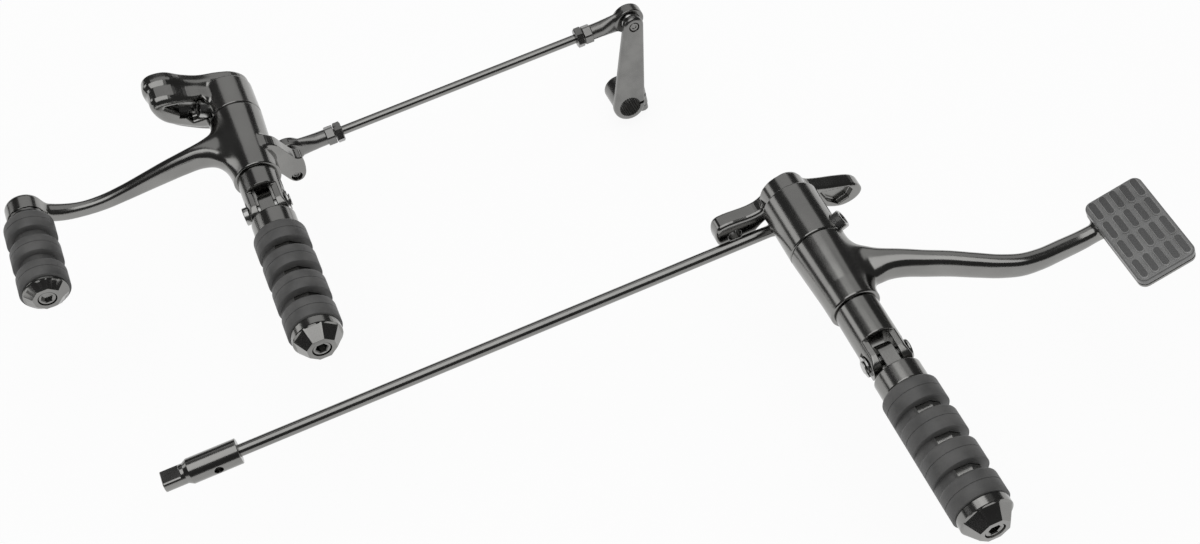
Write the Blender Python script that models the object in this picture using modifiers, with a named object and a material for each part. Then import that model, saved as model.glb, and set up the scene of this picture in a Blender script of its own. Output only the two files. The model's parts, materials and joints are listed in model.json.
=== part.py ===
"""Motorcycle forward controls: a left shift side and a right brake side, in metres, +Z up.

Each side is modelled in a frame of its own, whose origin is the centre of the seam between the
bracket's collar and the hub of the lever. There x runs along the control rods, y is up and z is
the distance out along the foot peg's axis. The frame is turned a quarter turn about X, so the
foot pegs point along world -Y. The world origin lies on the face of the left bracket that is
bolted to the motorcycle.
"""
import math

import bmesh
import bpy
from mathutils import Matrix, Vector

# Clearances
GAP = 0.0003
RUNNING_GAP = 0.0004
OPEN_CUT = 0.0050

# Place of the right side's frame, seen from the left side's
RIGHT_FROM_LEFT = (0.2988, -0.2826, 0.0029)

# Collar, hub and spindle, the same on both sides
COLLAR_RADIUS = 0.0182
COLLAR_CHAMFER = 0.0009
HUB_FRONT_RADIUS = 0.0159
SPINDLE_RADIUS = 0.0100
SPINDLE_END_ROOM = 0.0004
BUSH_WALL = 0.0020
LOCK_SEAT = 0.0155
LOCK_HEAD_RADIUS = 0.0053
LOCK_HEAD_LENGTH = 0.0064
LOCK_SCREW_RADIUS = 0.0030
LOCK_SCREW_TILT = math.radians(29)

# Fork of the peg support and the pin through it
FORK_WIDTH = 0.0252
SLOT_WIDTH = 0.0130
EAR_NOSE_RADIUS = 0.0092
PIN_FROM_ROOT = 0.0106
PIN_RADIUS = 0.0040
PIN_HEAD_RADIUS = 0.0060
PIN_HEAD_LENGTH = 0.0038
PIN_TAIL = 0.0028
CLIP_GROOVE_RADIUS = 0.0031
CLIP_RADIUS = 0.0064
CLIP_THICKNESS = 0.0010
CLIP_MOUTH = 0.0044

# Foot peg
TONGUE_WIDTH = 0.0096
TONGUE_RADIUS = 0.0088
PEG_SHOULDER_FROM_PIN = 0.0124
PEG_COLLAR_RADIUS = 0.0148
PEG_COLLAR_LENGTH = 0.0135
PEG_CORE_ACROSS = 0.0222
PEG_RUBBER_RADIUS = 0.0175
PEG_RING_COUNT = 4
PEG_RING_WIDTH = 0.0161
PEG_GROOVE_WIDTH = 0.0062
PEG_RING_ROUND = 0.0026
PEG_SPINE_RADIUS = 0.0140
PEG_SPINE_OFFSET = 0.0043
PEG_SPINE_DIRECTION = math.radians(230)
PEG_CAP_RADIUS = 0.0161
PEG_CAP_FLANGE = 0.0058
PEG_CAP_LENGTH = 0.0145
PEG_CAP_SHOULDER_RADIUS = 0.0157
PEG_CAP_FACE_RADIUS = 0.0098
PEG_SCREW_RADIUS = 0.0040
PEG_SCREW_HEAD_RADIUS = 0.0060
PEG_SCREW_HEAD_LENGTH = 0.0055
PEG_SCREW_SEAT = 0.0050
PEG_SCREW_LENGTH = 0.0300

# Left bracket and the lengths along the left peg's axis
LEFT_COLLAR_LENGTH = 0.0265
LEFT_PLATE_THICKNESS = 0.0105
LEFT_PLATE_ROUND = 0.0024
LEFT_POCKET_DEPTH = 0.0050
LEFT_BORE_DEPTH = 0.0290
LEFT_HUB_LENGTH = 0.0577
LEFT_SUPPORT_RADIUS = 0.0138
LEFT_SUPPORT_REACH = 0.0738
LEFT_LOCK_SCREW_BACK = 0.0130
LEFT_MOUNT = (-0.0330, 0.0060)
LEFT_UPPER_BOLT = (-0.0385, 0.0235)
LEFT_LOWER_BOLT = (-0.0150, -0.0180)
BRACKET_THREAD_RADIUS = 0.0040
BRACKET_THREAD_DEPTH = 0.0075

# Right bracket and the lengths along the right peg's axis
RIGHT_COLLAR_LENGTH = 0.0386
RIGHT_NECK_LENGTH = 0.0106
RIGHT_NECK_RADIUS = 0.0146
RIGHT_PLATE_THICKNESS = 0.0112
RIGHT_PLATE_ROUND = 0.0022
RIGHT_POCKET_DEPTH = 0.0040
RIGHT_BORE_DEPTH = 0.0400
RIGHT_HUB_LENGTH = 0.0505
RIGHT_SUPPORT_RADIUS = 0.0138
RIGHT_SUPPORT_REACH = 0.0782
RIGHT_LOCK_SCREW_BACK = 0.0060
RIGHT_REAR_BOLT = (-0.0345, -0.0232)
RIGHT_REAR_BOLT_RADIUS = 0.0043

# Shift lever
TOE = (-0.1481, 0.0150)
TOE_BOSS_RADIUS = 0.0125
TOE_BOSS_BACK = 0.0160
TOE_BOSS_FRONT = 0.0295
TOE_BOSS_ROUND = 0.0035
EAR_HOLE = (0.0240, -0.0285)
EAR_FRONT = 0.0415
EAR_TAB_THICKNESS = 0.0100
EAR_ROUND = 0.0010
EAR_BOLT_RECESS = 0.0020

# Toe peg
TOE_SCREW_RADIUS = 0.0040
TOE_CORE_RADIUS = 0.0080
TOE_BASE_RADIUS = 0.0122
TOE_BASE_LENGTH = 0.0016
TOE_NECK_RADIUS = 0.0130
TOE_NECK_LENGTH = 0.0033
TOE_RUBBER_RADIUS = 0.0162
TOE_GROOVE_RADIUS = 0.0116
TOE_RING_COUNT = 3
TOE_RING_WIDTH = 0.0152
TOE_GROOVE_WIDTH = 0.0065
TOE_RING_TAPER = 0.0032
TOE_CAP_RADIUS = 0.0145
TOE_CAP_FLANGE = 0.0020
TOE_CAP_LENGTH = 0.0066
TOE_CAP_SHOULDER_RADIUS = 0.0141
TOE_CAP_FACE_RADIUS = 0.0094
TOE_SCREW_HEAD_RADIUS = 0.0058
TOE_SCREW_HEAD_LENGTH = 0.0040
TOE_SCREW_SEAT = 0.0020
TOE_SCREW_ENGAGEMENT = 0.0120

# Rod ends, shift rod and shift arm
EYE_Z = 0.0170
EYE_RADIUS = 0.0104
EYE_WIDTH = 0.0080
BALL_RADIUS = 0.0078
BALL_WIDTH = 0.0120
SHANK_RADIUS = 0.0054
COLLAR_FROM_EYE = 0.0285
COLLAR_WIDTH = 0.0060
COLLAR_ACROSS = 0.0122
JAM_NUT_WIDTH = 0.0055
JAM_NUT_ACROSS = 0.0127
ROD_BOLT_RADIUS = 0.0034
ROD_BOLT_HEAD_ACROSS = 0.0125
ROD_BOLT_HEAD_LENGTH = 0.0055
SPACER_RADIUS = 0.0065
ROD_BETWEEN_EYES = 0.2558
SHIFT_ROD_RADIUS = 0.0032
SHIFT_ROD_INSERT = 0.0120
ARM_ROLL = math.radians(-8)
ARM_BORE = (-0.0158, -0.0670)
ARM_THICKNESS = 0.0062
ARM_TOP_RADIUS = 0.0074
ARM_BOTTOM_RADIUS = 0.0118
ARM_BORE_RADIUS = 0.0081
ARM_BOSS_STEP = 0.0014
ARM_BOSS_LENGTH = 0.0200
ARM_SLIT = 0.0018
PINCH_BOLT_RADIUS = 0.0025
PINCH_HEAD_RADIUS = 0.0042
PINCH_HEAD_LENGTH = 0.0044
PINCH_LOBE_RADIUS = 0.0046
PINCH_LOBE_HEIGHT = 0.0180
PINCH_BACK = 0.0100

# Brake pedal and its pad
PAD_CENTRE = (0.1638, 0.0190, 0.0864)
PAD_TILT = math.radians(14.5)
PAD_WIDTH = 0.0368
PAD_LENGTH = 0.0633
PAD_CORNER = 0.0050
PAD_RUBBER_THICKNESS = 0.0050
PAD_ROUND = 0.0010
PAD_PLATE_THICKNESS = 0.0028
RIB_HEIGHT = 0.0014
RIB_COLUMNS = 5
RIB_ROWS = 4
RIB_COLUMN_PITCH = 0.0069
RIB_ROW_PITCH = 0.0155
RIB_WIDTH = 0.0046
RIB_LENGTH = 0.0140
RIB_SINK = 0.0006

# Brake rod, its bolt and its coupler
BRAKE_EYE_DROP = 0.0257
BRAKE_EYE_BACK = 0.0440
BRAKE_EYE_RADIUS = 0.0088
BRAKE_EYE_WIDTH = 0.0066
BRAKE_ROD_RADIUS = 0.0039
BRAKE_BOLT_RADIUS = 0.0032
BRAKE_BOLT_HEAD_RADIUS = 0.0056
BRAKE_BOLT_HEAD_LENGTH = 0.0026
BRAKE_BOLT_ENGAGEMENT = 0.0120
LUG_HALF_WIDTH = 0.0098
LUG_HALF_HEIGHT = 0.0050
COUPLER_START = -0.3678
COUPLER_WIDE_LENGTH = 0.0317
COUPLER_TAPER = 0.0030
COUPLER_LENGTH = 0.0489
COUPLER_RADIUS = 0.0082
COUPLER_END_RADIUS = 0.0065
COUPLER_INSERT = 0.0260
COUPLER_HOLE_RADIUS = 0.0028
COUPLER_HOLE_FROM_START = 0.0150
COUPLER_FLAT_LENGTH = 0.0115
COUPLER_FLAT_DEPTH = 0.0022

# Numbers of sides on round surfaces
ROUND = 24
ROUND_SMALL = 12
ARM_SIDES = 16

# Turns that lay a piece's local Z along the frame's x axis or y axis
ALONG_X = (0.0, math.pi / 2.0, 0.0)
AGAINST_X = (0.0, -math.pi / 2.0, 0.0)
AGAINST_Y = (math.pi / 2.0, 0.0, 0.0)
BACKWARDS = (math.pi, 0.0, 0.0)

# Radii that follow from the sizes above
COLLAR_BORE_RADIUS = SPINDLE_RADIUS + GAP
BUSH_BORE_RADIUS = SPINDLE_RADIUS + RUNNING_GAP
BUSH_RADIUS = BUSH_BORE_RADIUS + BUSH_WALL
HUB_BORE_RADIUS = BUSH_RADIUS + GAP

parts = bpy.data.collections.new("forward_controls")
cutters = bpy.data.collections.new("cutters")
finishes = {}


def clear_scene():
    """Remove whatever the scene holds, and link the two collections."""
    for item in list(bpy.data.objects):
        bpy.data.objects.remove(item, do_unlink=True)
    for group in (parts, cutters):
        bpy.context.scene.collection.children.link(group)


def add_finish(name, colour, roughness, metallic):
    """A plain Principled material, made once."""
    made = bpy.data.materials.new(name)
    made.use_nodes = True
    shader = made.node_tree.nodes["Principled BSDF"]
    shader.inputs["Base Color"].default_value = (*colour, 1.0)
    shader.inputs["Roughness"].default_value = roughness
    shader.inputs["Metallic"].default_value = metallic
    finishes[name] = made


def frame_empty(name, location, rotation=(0.0, 0.0, 0.0), parent=None):
    """An empty that carries a frame or a joint's axis."""
    empty = bpy.data.objects.new(name, None)
    parts.objects.link(empty)
    empty.location = location
    empty.rotation_euler = rotation
    empty.parent = parent
    return empty


def place(name, mesh, parent, at, turn, finish):
    """Link a mesh into the parts, in its parent's frame, with its finish."""
    item = bpy.data.objects.new(name, mesh)
    parts.objects.link(item)
    item.parent = parent
    item.location = at
    item.rotation_euler = turn
    mesh.materials.clear()
    mesh.materials.append(finishes[finish])
    return item


def put_away(tool):
    """Move a cutter or a joined shape out of the parts."""
    parts.objects.unlink(tool)
    cutters.objects.link(tool)
    tool.hide_render = True
    tool.display_type = "WIRE"


def combine(target, operation, *tools):
    """Take the tools out of the target, join them to it, or keep what they share with it."""
    for tool in tools:
        step = target.modifiers.new(operation.lower(), "BOOLEAN")
        step.operation = operation
        step.solver = "EXACT"
        step.object = tool
        put_away(tool)
    weld = target.modifiers.new("weld", "WELD")
    weld.merge_threshold = 0.00001


def turned(name, profile, parent, at=(0.0, 0.0, 0.0), turn=(0.0, 0.0, 0.0), steps=ROUND,
           finish="gloss_black"):
    """A turned shape about local Z.

    The profile is a list of (radius, height) pairs that runs down the outer side. It ends on the
    axis, or it closes on itself round a bore.
    """
    mesh = bpy.data.meshes.new(name)
    points = [(radius, 0.0, height) for radius, height in profile]
    edges = [(i, i + 1) for i in range(len(points) - 1)]
    if profile[0][0] > 0.0:
        edges.append((len(points) - 1, 0))
    mesh.from_pydata(points, edges, [])
    item = place(name, mesh, parent, at, turn, finish)
    screw = item.modifiers.new("turn", "SCREW")
    screw.axis = "Z"
    screw.angle = 2.0 * math.pi
    screw.steps = steps
    screw.render_steps = steps
    screw.use_merge_vertices = True
    screw.merge_threshold = 0.00001
    screw.use_smooth_shade = True
    return item


def cylinder(name, radius, low, high, parent, at=(0.0, 0.0, 0.0), turn=(0.0, 0.0, 0.0),
             steps=ROUND_SMALL, finish="gloss_black", chamfer=0.0):
    """A turned cylinder from low to high along local Z, with a chamfer on both rims if given."""
    profile = [(0.0, high), (radius - chamfer, high)]
    if chamfer > 0.0:
        profile += [(radius, high - chamfer), (radius, low + chamfer)]
    profile += [(radius - chamfer, low), (0.0, low)]
    return turned(name, profile, parent, at, turn, steps, finish)


def arc(centre, radius, start, end, count):
    """Points along an arc, both ends included."""
    step = (end - start) / count
    return [(centre[0] + radius * math.cos(start + step * i),
             centre[1] + radius * math.sin(start + step * i)) for i in range(count + 1)]


def two_circle_outline(first, first_radius, second, second_radius, count=9):
    """The outline of two circles and their outer tangents, anticlockwise."""
    reach = math.hypot(second[0] - first[0], second[1] - first[1])
    heading = math.atan2(second[1] - first[1], second[0] - first[0])
    spread = math.acos((first_radius - second_radius) / reach)
    near = arc(first, first_radius, heading + spread, heading + 2.0 * math.pi - spread, count)
    far = arc(second, second_radius, heading - spread, heading + spread, count)
    return near + far


def rounded_rectangle(width, height, corner, count=4):
    """The outline of a rectangle with round corners, centred on the origin."""
    outline = []
    for i, (sx, sy) in enumerate(((1, 1), (-1, 1), (-1, -1), (1, -1))):
        centre = (sx * (width / 2.0 - corner), sy * (height / 2.0 - corner))
        outline += arc(centre, corner, i * math.pi / 2.0, (i + 1) * math.pi / 2.0, count)
    return outline


def smooth_outline(points, count=3):
    """A closed Catmull-Rom curve through the points."""
    outline = []
    total = len(points)
    for i in range(total):
        a, b, c, d = [Vector(points[(i + k) % total]) for k in (-1, 0, 1, 2)]
        for j in range(count):
            t = j / count
            outline.append(0.5 * (2.0 * b + (c - a) * t + (2.0 * a - 5.0 * b + 4.0 * c - d) * t ** 2
                                  + (3.0 * b - a - 3.0 * c + d) * t ** 3))
    return outline


def polygon(across, sides):
    """The outline of a regular polygon with a flat at the top, given its size across flats."""
    corner = across / 2.0 / math.cos(math.pi / sides)
    angles = [math.pi / 2.0 + (2 * i + 1) * math.pi / sides for i in range(sides)]
    return [(corner * math.cos(angle), corner * math.sin(angle)) for angle in angles]


def plate(name, outline, low, high, parent, at=(0.0, 0.0, 0.0), turn=(0.0, 0.0, 0.0), edge=0.0,
          finish="gloss_black"):
    """A flat outline extruded from low to high along local Z, with rounded edges if given.

    The outline is a filled 2D curve, made a mesh so that it can be cut and joined.
    """
    curve = bpy.data.curves.new(name + "_outline", "CURVE")
    curve.dimensions = "2D"
    curve.fill_mode = "BOTH"
    curve.extrude = (high - low) / 2.0 - edge
    curve.bevel_depth = edge
    curve.bevel_resolution = 0
    curve.offset = -edge
    spline = curve.splines.new("POLY")
    spline.points.add(len(outline) - 1)
    for point, (x, y) in zip(spline.points, outline):
        point.co = (x, y, 0.0, 1.0)
    spline.use_cyclic_u = True
    source = bpy.data.objects.new(name + "_outline", curve)
    cutters.objects.link(source)
    graph = bpy.context.evaluated_depsgraph_get()
    mesh = bpy.data.meshes.new_from_object(source.evaluated_get(graph))
    mesh.name = name
    bpy.data.objects.remove(source, do_unlink=True)
    mesh.transform(Matrix.Translation((0.0, 0.0, (low + high) / 2.0)))
    body = bmesh.new()
    body.from_mesh(mesh)
    bmesh.ops.remove_doubles(body, verts=body.verts, dist=0.000001)
    bmesh.ops.recalc_face_normals(body, faces=body.faces)
    body.to_mesh(mesh)
    body.free()
    return place(name, mesh, parent, at, turn, finish)


def faceted_cone(name, sides, low_radius, high_radius, low, high, parent):
    """A cone with flat sides, one of them at the top."""
    body = bmesh.new()
    turn = Matrix.Rotation(math.pi / sides, 4, "Z") @ Matrix.Translation((0.0, 0.0, (low + high) / 2.0))
    bmesh.ops.create_cone(body, cap_ends=True, segments=sides, radius1=low_radius,
                          radius2=high_radius, depth=high - low, matrix=turn)
    mesh = bpy.data.meshes.new(name)
    body.to_mesh(mesh)
    body.free()
    return place(name, mesh, parent, (0.0, 0.0, 0.0), (0.0, 0.0, 0.0), "gloss_black")


def superellipse(half_width, half_height, squareness):
    """Points round a superellipse: 2 is an ellipse, and a larger squareness has flatter sides."""
    power = 2.0 / squareness
    points = []
    for i in range(ARM_SIDES):
        angle = 2.0 * math.pi * i / ARM_SIDES
        across = math.copysign(abs(math.cos(angle)) ** power, math.cos(angle))
        over = math.copysign(abs(math.sin(angle)) ** power, math.sin(angle))
        points.append((across * half_width, over * half_height))
    return points


def loft(name, stations, parent):
    """A bar through unlike sections.

    A station is (centre, half width, half height, squareness). Its section stands square to the
    path, with its height along y as near as the path allows.
    """
    body = bmesh.new()
    rings = []
    centres = [Vector(station[0]) for station in stations]
    last = len(centres) - 1
    for i, (_, half_width, half_height, squareness) in enumerate(stations):
        along = (centres[min(i + 1, last)] - centres[max(i - 1, 0)]).normalized()
        across = along.cross(Vector((0.0, 1.0, 0.0))).normalized()
        over = across.cross(along)
        rings.append([body.verts.new(centres[i] + across * x + over * y)
                      for x, y in superellipse(half_width, half_height, squareness)])
    for first, second in zip(rings, rings[1:]):
        for j in range(ARM_SIDES):
            k = (j + 1) % ARM_SIDES
            body.faces.new((first[j], first[k], second[k], second[j]))
    body.faces.new(rings[0])
    body.faces.new(rings[-1])
    bmesh.ops.recalc_face_normals(body, faces=body.faces)
    mesh = bpy.data.meshes.new(name)
    body.to_mesh(mesh)
    body.free()
    return place(name, mesh, parent, (0.0, 0.0, 0.0), (0.0, 0.0, 0.0), "gloss_black")


def socket_screw(name, radius, length, head_radius, head_length, parent, at, turn=(0.0, 0.0, 0.0)):
    """A socket head screw: the head stands up local Z from its seat and the shank runs down."""
    edge = head_radius * 0.12
    profile = [(0.0, head_length), (head_radius - edge, head_length), (head_radius, head_length - edge),
               (head_radius, 0.0), (radius, 0.0), (radius, edge - length), (radius - edge, -length),
               (0.0, -length)]
    screw = turned(name, profile, parent, at, turn, ROUND_SMALL, "satin_black")
    socket = plate(name + "_socket", polygon(head_radius * 1.1, 6), head_length * 0.4,
                   head_length + OPEN_CUT, parent, at, turn)
    combine(screw, "DIFFERENCE", socket)


def hex_bolt(name, radius, length, across, head_length, parent, at, turn=(0.0, 0.0, 0.0)):
    """A hexagon bolt: the head stands up local Z from its seat and the shank runs down."""
    edge = radius / 8.0
    profile = [(0.0, GAP), (radius, GAP), (radius, edge - length), (radius - edge, -length), (0.0, -length)]
    bolt = turned(name, profile, parent, at, turn, ROUND_SMALL, "satin_black")
    head = plate(name + "_head", polygon(across, 6), 0.0, head_length, parent, at, turn)
    combine(bolt, "UNION", head)


class Side:
    """What differs between the two sides, and the places that follow from it."""

    def __init__(self, name, seam, collar_length, bore_depth, hub_length, support_radius,
                 support_reach, screw_turn, screw_back, pin_turn):
        self.name = name
        self.frame = frame_empty(name + "_side", seam, (math.pi / 2.0, 0.0, 0.0))
        self.collar_length = collar_length
        self.bore_depth = bore_depth
        self.hub_length = hub_length
        self.support_radius = support_radius
        self.support_reach = support_reach
        self.pin_z = support_reach + PIN_FROM_ROOT
        self.pin_turn = pin_turn
        self.screw = frame_empty(name + "_lock_screw_axis", (0.0, 0.0, -screw_back),
                                 (0.0, 0.0, screw_turn), self.frame)


def bracket_collar(side):
    """The round collar that holds the spindle, reaching a little way into what carries it."""
    front = COLLAR_RADIUS - COLLAR_CHAMFER
    back = -side.collar_length
    profile = [(0.0, 0.0), (COLLAR_RADIUS, 0.0), (COLLAR_RADIUS, back + COLLAR_CHAMFER), (front, back),
               (front, back - COLLAR_CHAMFER), (0.0, back - COLLAR_CHAMFER)]
    return turned(side.name + "_bracket", profile, side.frame)


def bore_collar(side, bracket):
    """Bore the collar for the spindle, and drill and spot-face it for the lock screw."""
    bore = cylinder(side.name + "_collar_bore", COLLAR_BORE_RADIUS, -side.bore_depth, OPEN_CUT,
                    side.frame, steps=ROUND)
    outside = COLLAR_RADIUS + LOCK_HEAD_LENGTH
    inside = SPINDLE_RADIUS / 2.0
    wide = LOCK_HEAD_RADIUS + GAP
    narrow = LOCK_SCREW_RADIUS + GAP
    hole = turned(side.name + "_lock_hole", [(0.0, outside), (wide, outside), (wide, LOCK_SEAT - GAP),
                                             (narrow, LOCK_SEAT - GAP), (narrow, inside), (0.0, inside)],
                  side.screw, turn=ALONG_X, steps=ROUND_SMALL)
    combine(bracket, "DIFFERENCE", bore, hole)


def lock_screw(side):
    """The screw that locks the spindle in the collar."""
    socket_screw(side.name + "_lock_screw", LOCK_SCREW_RADIUS, LOCK_SEAT - SPINDLE_RADIUS - GAP,
                 LOCK_HEAD_RADIUS, LOCK_HEAD_LENGTH, side.screw, (LOCK_SEAT, 0.0, 0.0), ALONG_X)


def peg_support(side):
    """The spindle that the lever turns on, in one with the fork that the foot peg folds in."""
    root = side.support_reach
    shoulder = side.hub_length + GAP
    radius = side.support_radius
    tip = side.pin_z + EAR_NOSE_RADIUS
    spindle = cylinder(side.name + "_peg_support", SPINDLE_RADIUS, SPINDLE_END_ROOM - side.bore_depth,
                       shoulder + GAP, side.frame, steps=ROUND)
    fork = cylinder(side.name + "_fork", radius, shoulder, tip + GAP, side.frame, steps=ROUND)
    wide = radius + OPEN_CUT
    back = shoulder - GAP - side.pin_z
    outline = arc((0.0, 0.0), EAR_NOSE_RADIUS, -math.pi / 2.0, math.pi / 2.0, 12)
    outline += [(-PIN_FROM_ROOT, EAR_NOSE_RADIUS), (-PIN_FROM_ROOT, wide), (back, wide), (back, -wide),
                (-PIN_FROM_ROOT, -wide), (-PIN_FROM_ROOT, -EAR_NOSE_RADIUS)]
    nose = plate(side.name + "_ear_nose", outline, -wide, wide, side.frame, (0.0, 0.0, side.pin_z),
                 AGAINST_X)
    combine(fork, "INTERSECT", nose)
    combine(spindle, "UNION", fork)
    slot = plate(side.name + "_fork_slot", rounded_rectangle(SLOT_WIDTH, 4.0 * radius, GAP, 1),
                 root - GAP, tip + OPEN_CUT, side.frame)
    combine(spindle, "DIFFERENCE", slot)
    seat = side.pin_z - CLIP_RADIUS - GAP
    for sign in (-1.0, 1.0):
        flat = plate(side.name + "_fork_flat", rounded_rectangle(radius, 4.0 * radius, GAP, 1), seat,
                     tip + OPEN_CUT, side.frame, (sign * (FORK_WIDTH + radius) / 2.0, 0.0, 0.0))
        combine(spindle, "DIFFERENCE", flat)
    pin_hole = cylinder(side.name + "_pin_hole", PIN_RADIUS + GAP, -2.0 * radius, 2.0 * radius,
                        side.frame, (0.0, 0.0, side.pin_z), ALONG_X)
    combine(spindle, "DIFFERENCE", pin_hole)


def hub_bush(side):
    """The bush pressed into the lever's hub."""
    low = 2.0 * GAP
    high = side.hub_length - GAP
    profile = [(BUSH_RADIUS, high), (BUSH_RADIUS, low), (BUSH_BORE_RADIUS, low), (BUSH_BORE_RADIUS, high)]
    turned(side.name + "_hub_bush", profile, side.frame, finish="dark_steel")


def lever_hub(side, name):
    """The tapered hub of a lever, without its bore."""
    length = side.hub_length
    radius = HUB_FRONT_RADIUS
    profile = [(0.0, length), (radius - COLLAR_CHAMFER, length), (radius, length - COLLAR_CHAMFER),
               (radius + GAP, 0.72 * length), (COLLAR_RADIUS, GAP), (0.0, GAP)]
    return turned(name, profile, side.frame)


def bore_hub(side, lever):
    """Bore a lever's hub for its bush."""
    combine(lever, "DIFFERENCE", cylinder(side.name + "_hub_bore", HUB_BORE_RADIUS, -OPEN_CUT,
                                          side.hub_length + OPEN_CUT, side.frame, steps=ROUND))


def pivot_pin(side):
    """The headed pin that the foot peg folds on, and the clip that keeps it in."""
    ear = FORK_WIDTH / 2.0
    head = -ear - GAP
    head_end = head - PIN_HEAD_LENGTH
    groove_start = ear + GAP
    groove_end = groove_start + CLIP_THICKNESS + 2.0 * GAP
    tail = ear + PIN_TAIL
    edge = PIN_RADIUS / 8.0
    profile = [(0.0, tail), (PIN_RADIUS - edge, tail), (PIN_RADIUS, tail - edge), (PIN_RADIUS, groove_end),
               (CLIP_GROOVE_RADIUS, groove_end), (CLIP_GROOVE_RADIUS, groove_start),
               (PIN_RADIUS, groove_start), (PIN_RADIUS, head), (PIN_HEAD_RADIUS, head),
               (PIN_HEAD_RADIUS, head_end + edge), (PIN_HEAD_RADIUS - edge, head_end), (0.0, head_end)]
    at = (0.0, 0.0, side.pin_z)
    turned(side.name + "_pivot_pin", profile, side.frame, at, side.pin_turn, ROUND_SMALL,
           "dark_steel")
    inner = CLIP_GROOVE_RADIUS + GAP
    outer_start = math.asin(CLIP_MOUTH / 2.0 / CLIP_RADIUS)
    inner_start = math.asin(CLIP_MOUTH / 2.0 / inner)
    outline = arc((0.0, 0.0), CLIP_RADIUS, outer_start, 2.0 * math.pi - outer_start, 20)
    outline += arc((0.0, 0.0), inner, 2.0 * math.pi - inner_start, inner_start, 14)
    plate(side.name + "_pin_clip", outline, groove_start + GAP, groove_start + GAP + CLIP_THICKNESS,
          side.frame, at, side.pin_turn, finish="dark_steel")


def ring_profile(top, count, width, groove, radius, groove_radius, shoulder):
    """The outer profile of a ribbed rubber, from its outer end down to its inner one.

    Each ring has a crisp outer edge, and a shoulder on its inner edge: a list of (inset, height
    above the ring's inner end) pairs.
    """
    points = []
    for i in range(count):
        high = top - i * (width + groove)
        low = high - width
        points += [(groove_radius, high), (radius, high)]
        points += [(radius - inset, low + height) for inset, height in shoulder]
        points.append((groove_radius, low))
    return points


def end_cap(name, parent, base, radius, flange, length, shoulder_radius, face_radius, screw_radius,
            head_radius, seat):
    """A round flange with an octagonal cone on it, bored and counterbored for its screw."""
    cap = cylinder(name, radius, base, base + flange, parent, steps=ROUND, chamfer=flange / 5.0)
    cone = faceted_cone(name + "_cone", 8, shoulder_radius, face_radius, base + flange / 2.0,
                        base + length, parent)
    bore = cylinder(name + "_bore", screw_radius + GAP, base - OPEN_CUT, base + length, parent)
    counterbore = cylinder(name + "_counterbore", head_radius + GAP, base + seat - GAP,
                           base + length + OPEN_CUT, parent)
    combine(cap, "UNION", cone)
    combine(cap, "DIFFERENCE", bore, counterbore)


def foot_peg(side):
    """The folding foot peg: core, ribbed rubber, end cap and screw."""
    fold = frame_empty(side.name + "_peg_fold", (0.0, 0.0, side.pin_z), parent=side.frame)
    start = PEG_SHOULDER_FROM_PIN
    rubber_start = start + PEG_COLLAR_LENGTH + GAP
    rubber_end = rubber_start + PEG_RING_COUNT * (PEG_RING_WIDTH + PEG_GROOVE_WIDTH) - PEG_GROOVE_WIDTH

    tongue = two_circle_outline((0.0, 0.0), TONGUE_RADIUS, (start + GAP, 0.0), TONGUE_RADIUS)
    core = plate(side.name + "_peg_core", tongue, -TONGUE_WIDTH / 2.0, TONGUE_WIDTH / 2.0, fold,
                 turn=AGAINST_X)
    collar = cylinder(side.name + "_peg_collar", PEG_COLLAR_RADIUS, start, start + PEG_COLLAR_LENGTH,
                      fold, steps=ROUND, chamfer=COLLAR_CHAMFER)
    bar = plate(side.name + "_peg_bar", polygon(PEG_CORE_ACROSS, 8),
                start + PEG_COLLAR_LENGTH - COLLAR_CHAMFER, rubber_end, fold)
    pin_hole = cylinder(side.name + "_tongue_hole", PIN_RADIUS + GAP, -TONGUE_WIDTH, TONGUE_WIDTH, fold,
                        turn=ALONG_X)
    thread = cylinder(side.name + "_peg_thread", PEG_SCREW_RADIUS + GAP, rubber_end - PEG_SCREW_LENGTH,
                      rubber_end + OPEN_CUT, fold)
    combine(core, "UNION", collar, bar)
    combine(core, "DIFFERENCE", pin_hole, thread)

    eighth = PEG_RING_ROUND * (1.0 - math.cos(math.pi / 4.0))
    shoulder = [(0.0, PEG_RING_ROUND), (eighth, eighth), (PEG_RING_ROUND, 0.0)]
    rings = ring_profile(rubber_end, PEG_RING_COUNT, PEG_RING_WIDTH, PEG_GROOVE_WIDTH,
                         PEG_RUBBER_RADIUS, 0.4 * PEG_CORE_ACROSS, shoulder)
    profile = [(0.0, rubber_end)] + rings[1:-1] + [(0.0, rubber_start)]
    rubber = turned(side.name + "_peg_rubber", profile, fold, finish="black_rubber")
    spine_at = (PEG_SPINE_OFFSET * math.cos(PEG_SPINE_DIRECTION),
                PEG_SPINE_OFFSET * math.sin(PEG_SPINE_DIRECTION), 0.0)
    spine = cylinder(side.name + "_peg_spine", PEG_SPINE_RADIUS, rubber_start + PEG_RING_WIDTH / 2.0,
                     rubber_end - PEG_RING_WIDTH / 2.0, fold, spine_at, steps=ROUND)
    hole = plate(side.name + "_rubber_hole", polygon(PEG_CORE_ACROSS + 2.0 * GAP, 8),
                 rubber_start - OPEN_CUT, rubber_end + OPEN_CUT, fold)
    combine(rubber, "UNION", spine)
    combine(rubber, "DIFFERENCE", hole)

    base = rubber_end + GAP
    end_cap(side.name + "_peg_cap", fold, base, PEG_CAP_RADIUS, PEG_CAP_FLANGE, PEG_CAP_LENGTH,
            PEG_CAP_SHOULDER_RADIUS, PEG_CAP_FACE_RADIUS, PEG_SCREW_RADIUS, PEG_SCREW_HEAD_RADIUS,
            PEG_SCREW_SEAT)
    socket_screw(side.name + "_peg_screw", PEG_SCREW_RADIUS, PEG_SCREW_LENGTH, PEG_SCREW_HEAD_RADIUS,
                 PEG_SCREW_HEAD_LENGTH, fold, (0.0, 0.0, base + PEG_SCREW_SEAT))


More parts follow.
